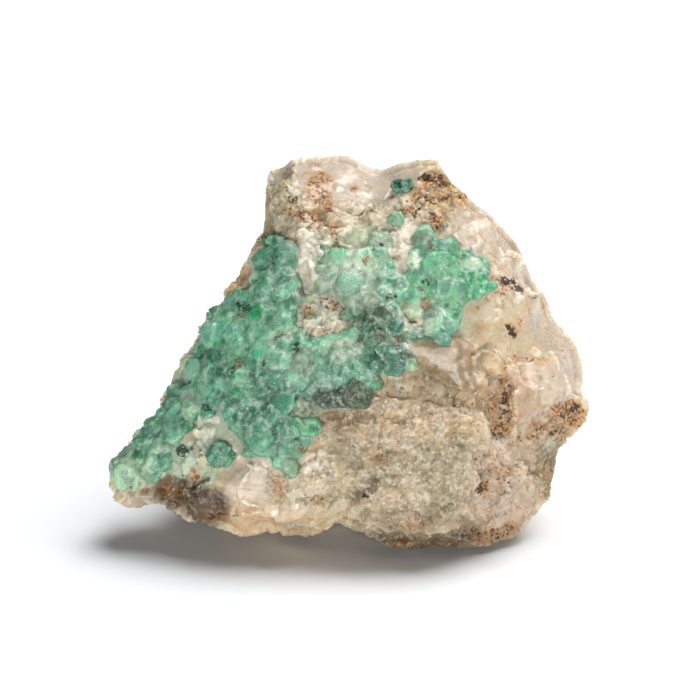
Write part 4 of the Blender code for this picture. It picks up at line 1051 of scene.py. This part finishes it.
# The milky quartz
# Pale worn grains of quartz at the edges of the vein and between its crystals, fused where they
# meet. They take the tint of the stone under them.
MILKY_PLACES = [
    (-4.9, 14.4, 2.6, 4.2, 0, 1.0), (-3.6, 6.4, 2.8, 2.8, 0, 0.9), (5.9, 16.6, 1.6, 2.2, 0, 1.0),
    (-1.0, 16.6, 2.4, 1.4, 0, 0.8), (8.4, 6.4, 2.4, 2.0, 0, 0.9), (-1.0, 2.2, 2.6, 1.2, 0, 0.8),
    (-18.4, -7.4, 2.2, 2.2, 0, 0.7), (-13.6, 11.6, 1.4, 2.4, -30, 0.8), (15.2, 14.0, 2.2, 1.0, -20, 0.6),
]
spots = on_face(points)
milky_share = most(spots, wander, MILKY_PLACES) * front
for across, up, wide, high, tall, colour in SINGLE.values():
    milky_share *= smooth_step(wide + 0.3, wide + 1.0, np.hypot(spots[:, 0] - across, spots[:, 1] - up))
milky_share = smooth_step(0.3, 0.5, milky_share)


def pale_corners():
    wide = draw.uniform(0.6, 1.0)
    return crystal_shape(draw, wide, wide * draw.uniform(0.6, 1.0), draw.uniform(0.12, 0.32))


quartz_look, tree, shader = new_material("milky quartz")
veil = clouds(tree, 0.0014, 4.0, 0.6)
veiled = span(tree, veil, 0.40, 0.62, 0.4, 0.95)
colour = mix_colour(tree, veiled, attribute(tree, "tint", "Color"), tone(240, 230, 204))
stain = use(tree, STAIN, Rust=attribute(tree, "rust"), Dark=attribute(tree, "dark"))
colour = stained(tree, colour, stain, (("Halo", 0.7, ORANGE), ("Specks", 0.8, RUST_BROWN)))
fill_all(tree, shader, {
    "Base Color": colour, "Roughness": span(tree, veil, 0.3, 0.7, 0.25, 0.5), "Transmission Weight": 0.18, "IOR": 1.54,
    "Subsurface Weight": 0.7, "Subsurface Radius": (0.0014, 0.0012, 0.0010), "Subsurface Scale": 1.0})
facet = use(tree, GRAIN, Grain_size=0.0007, Tilt=0.3)
bumped(tree, shader, times(tree, veil, 0.0001), facet["Normal"])
quartz = scattered(sheet_of("milky_quartz", milky_share), Shapes=shape_set("pale grain", 8, pale_corners),
                   Spacing=0.0009, Density=2.4e6, Smallest=0.6, Largest=1.2, Lean=0.3, Shade=0.0, Seed=6)
remeshed(quartz, 0.2)
quartz_points = worn(quartz, 3)
stone_at = KDTree(len(points))
for i, point in enumerate(points):
    stone_at.insert(point, i)
stone_at.balance()
under = [stone_at.find(p)[1] for p in quartz_points]
stone_tint = np.empty(len(points) * 4)
stone.data.attributes["tint"].data.foreach_get("color", stone_tint)
tints(quartz.data, "tint", stone_tint.reshape(-1, 4)[under, :3])
quartz_spots = on_face(quartz_points)
quartz_wander = warped(quartz_spots)
floats(quartz.data, "rust", most(quartz_spots, quartz_wander, RUST))
floats(quartz.data, "dark", most(quartz_spots, quartz_wander, DARK))
dressed(quartz, quartz_look)
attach(quartz, "root")

# The table and the light
# A white sweep under a broad soft lamp that hangs high on the right, a little behind the stone,
# with a smaller one in front that fills the broken face.
shape = bmesh.new()
bmesh.ops.create_grid(shape, x_segments=1, y_segments=1, size=3.0)
floor = piece_of("floor", shape)
floor_look, tree, shader = new_material("white sweep")
fill_all(tree, shader, {"Base Color": (0.905, 0.92, 0.94), "Roughness": 0.9, "Specular IOR Level": 0.0})
floor.data.materials.append(floor_look)


def soft_lamp(name, place, aim, size, power):
    lamp = bpy.data.lights.new(name, "AREA")
    lamp.shape = "RECTANGLE"
    lamp.size, lamp.size_y = size
    lamp.energy = power
    made = bpy.data.objects.new(name, lamp)
    made.location = place
    made.rotation_euler = (Vector(place) - Vector(aim)).to_track_quat("Z", "Y").to_euler()
    bpy.context.scene.collection.objects.link(made)


soft_lamp("top lamp", (0.34, 0.18, 0.85), (0.0, 0.0, 0.0), (0.8, 0.7), 12.5)
soft_lamp("front lamp", (-0.12, -1.34, 0.14), (0.0, 0.0, 0.02), (0.6, 0.2), 14.0)
world = bpy.data.worlds.new("white room")
world.use_nodes = True
world.node_tree.nodes["Background"].inputs["Color"].default_value = (0.78, 0.90, 1.0, 1.0)
world.node_tree.nodes["Background"].inputs["Strength"].default_value = 0.08
bpy.context.scene.world = world
bpy.context.scene.view_settings.view_transform = "Standard"
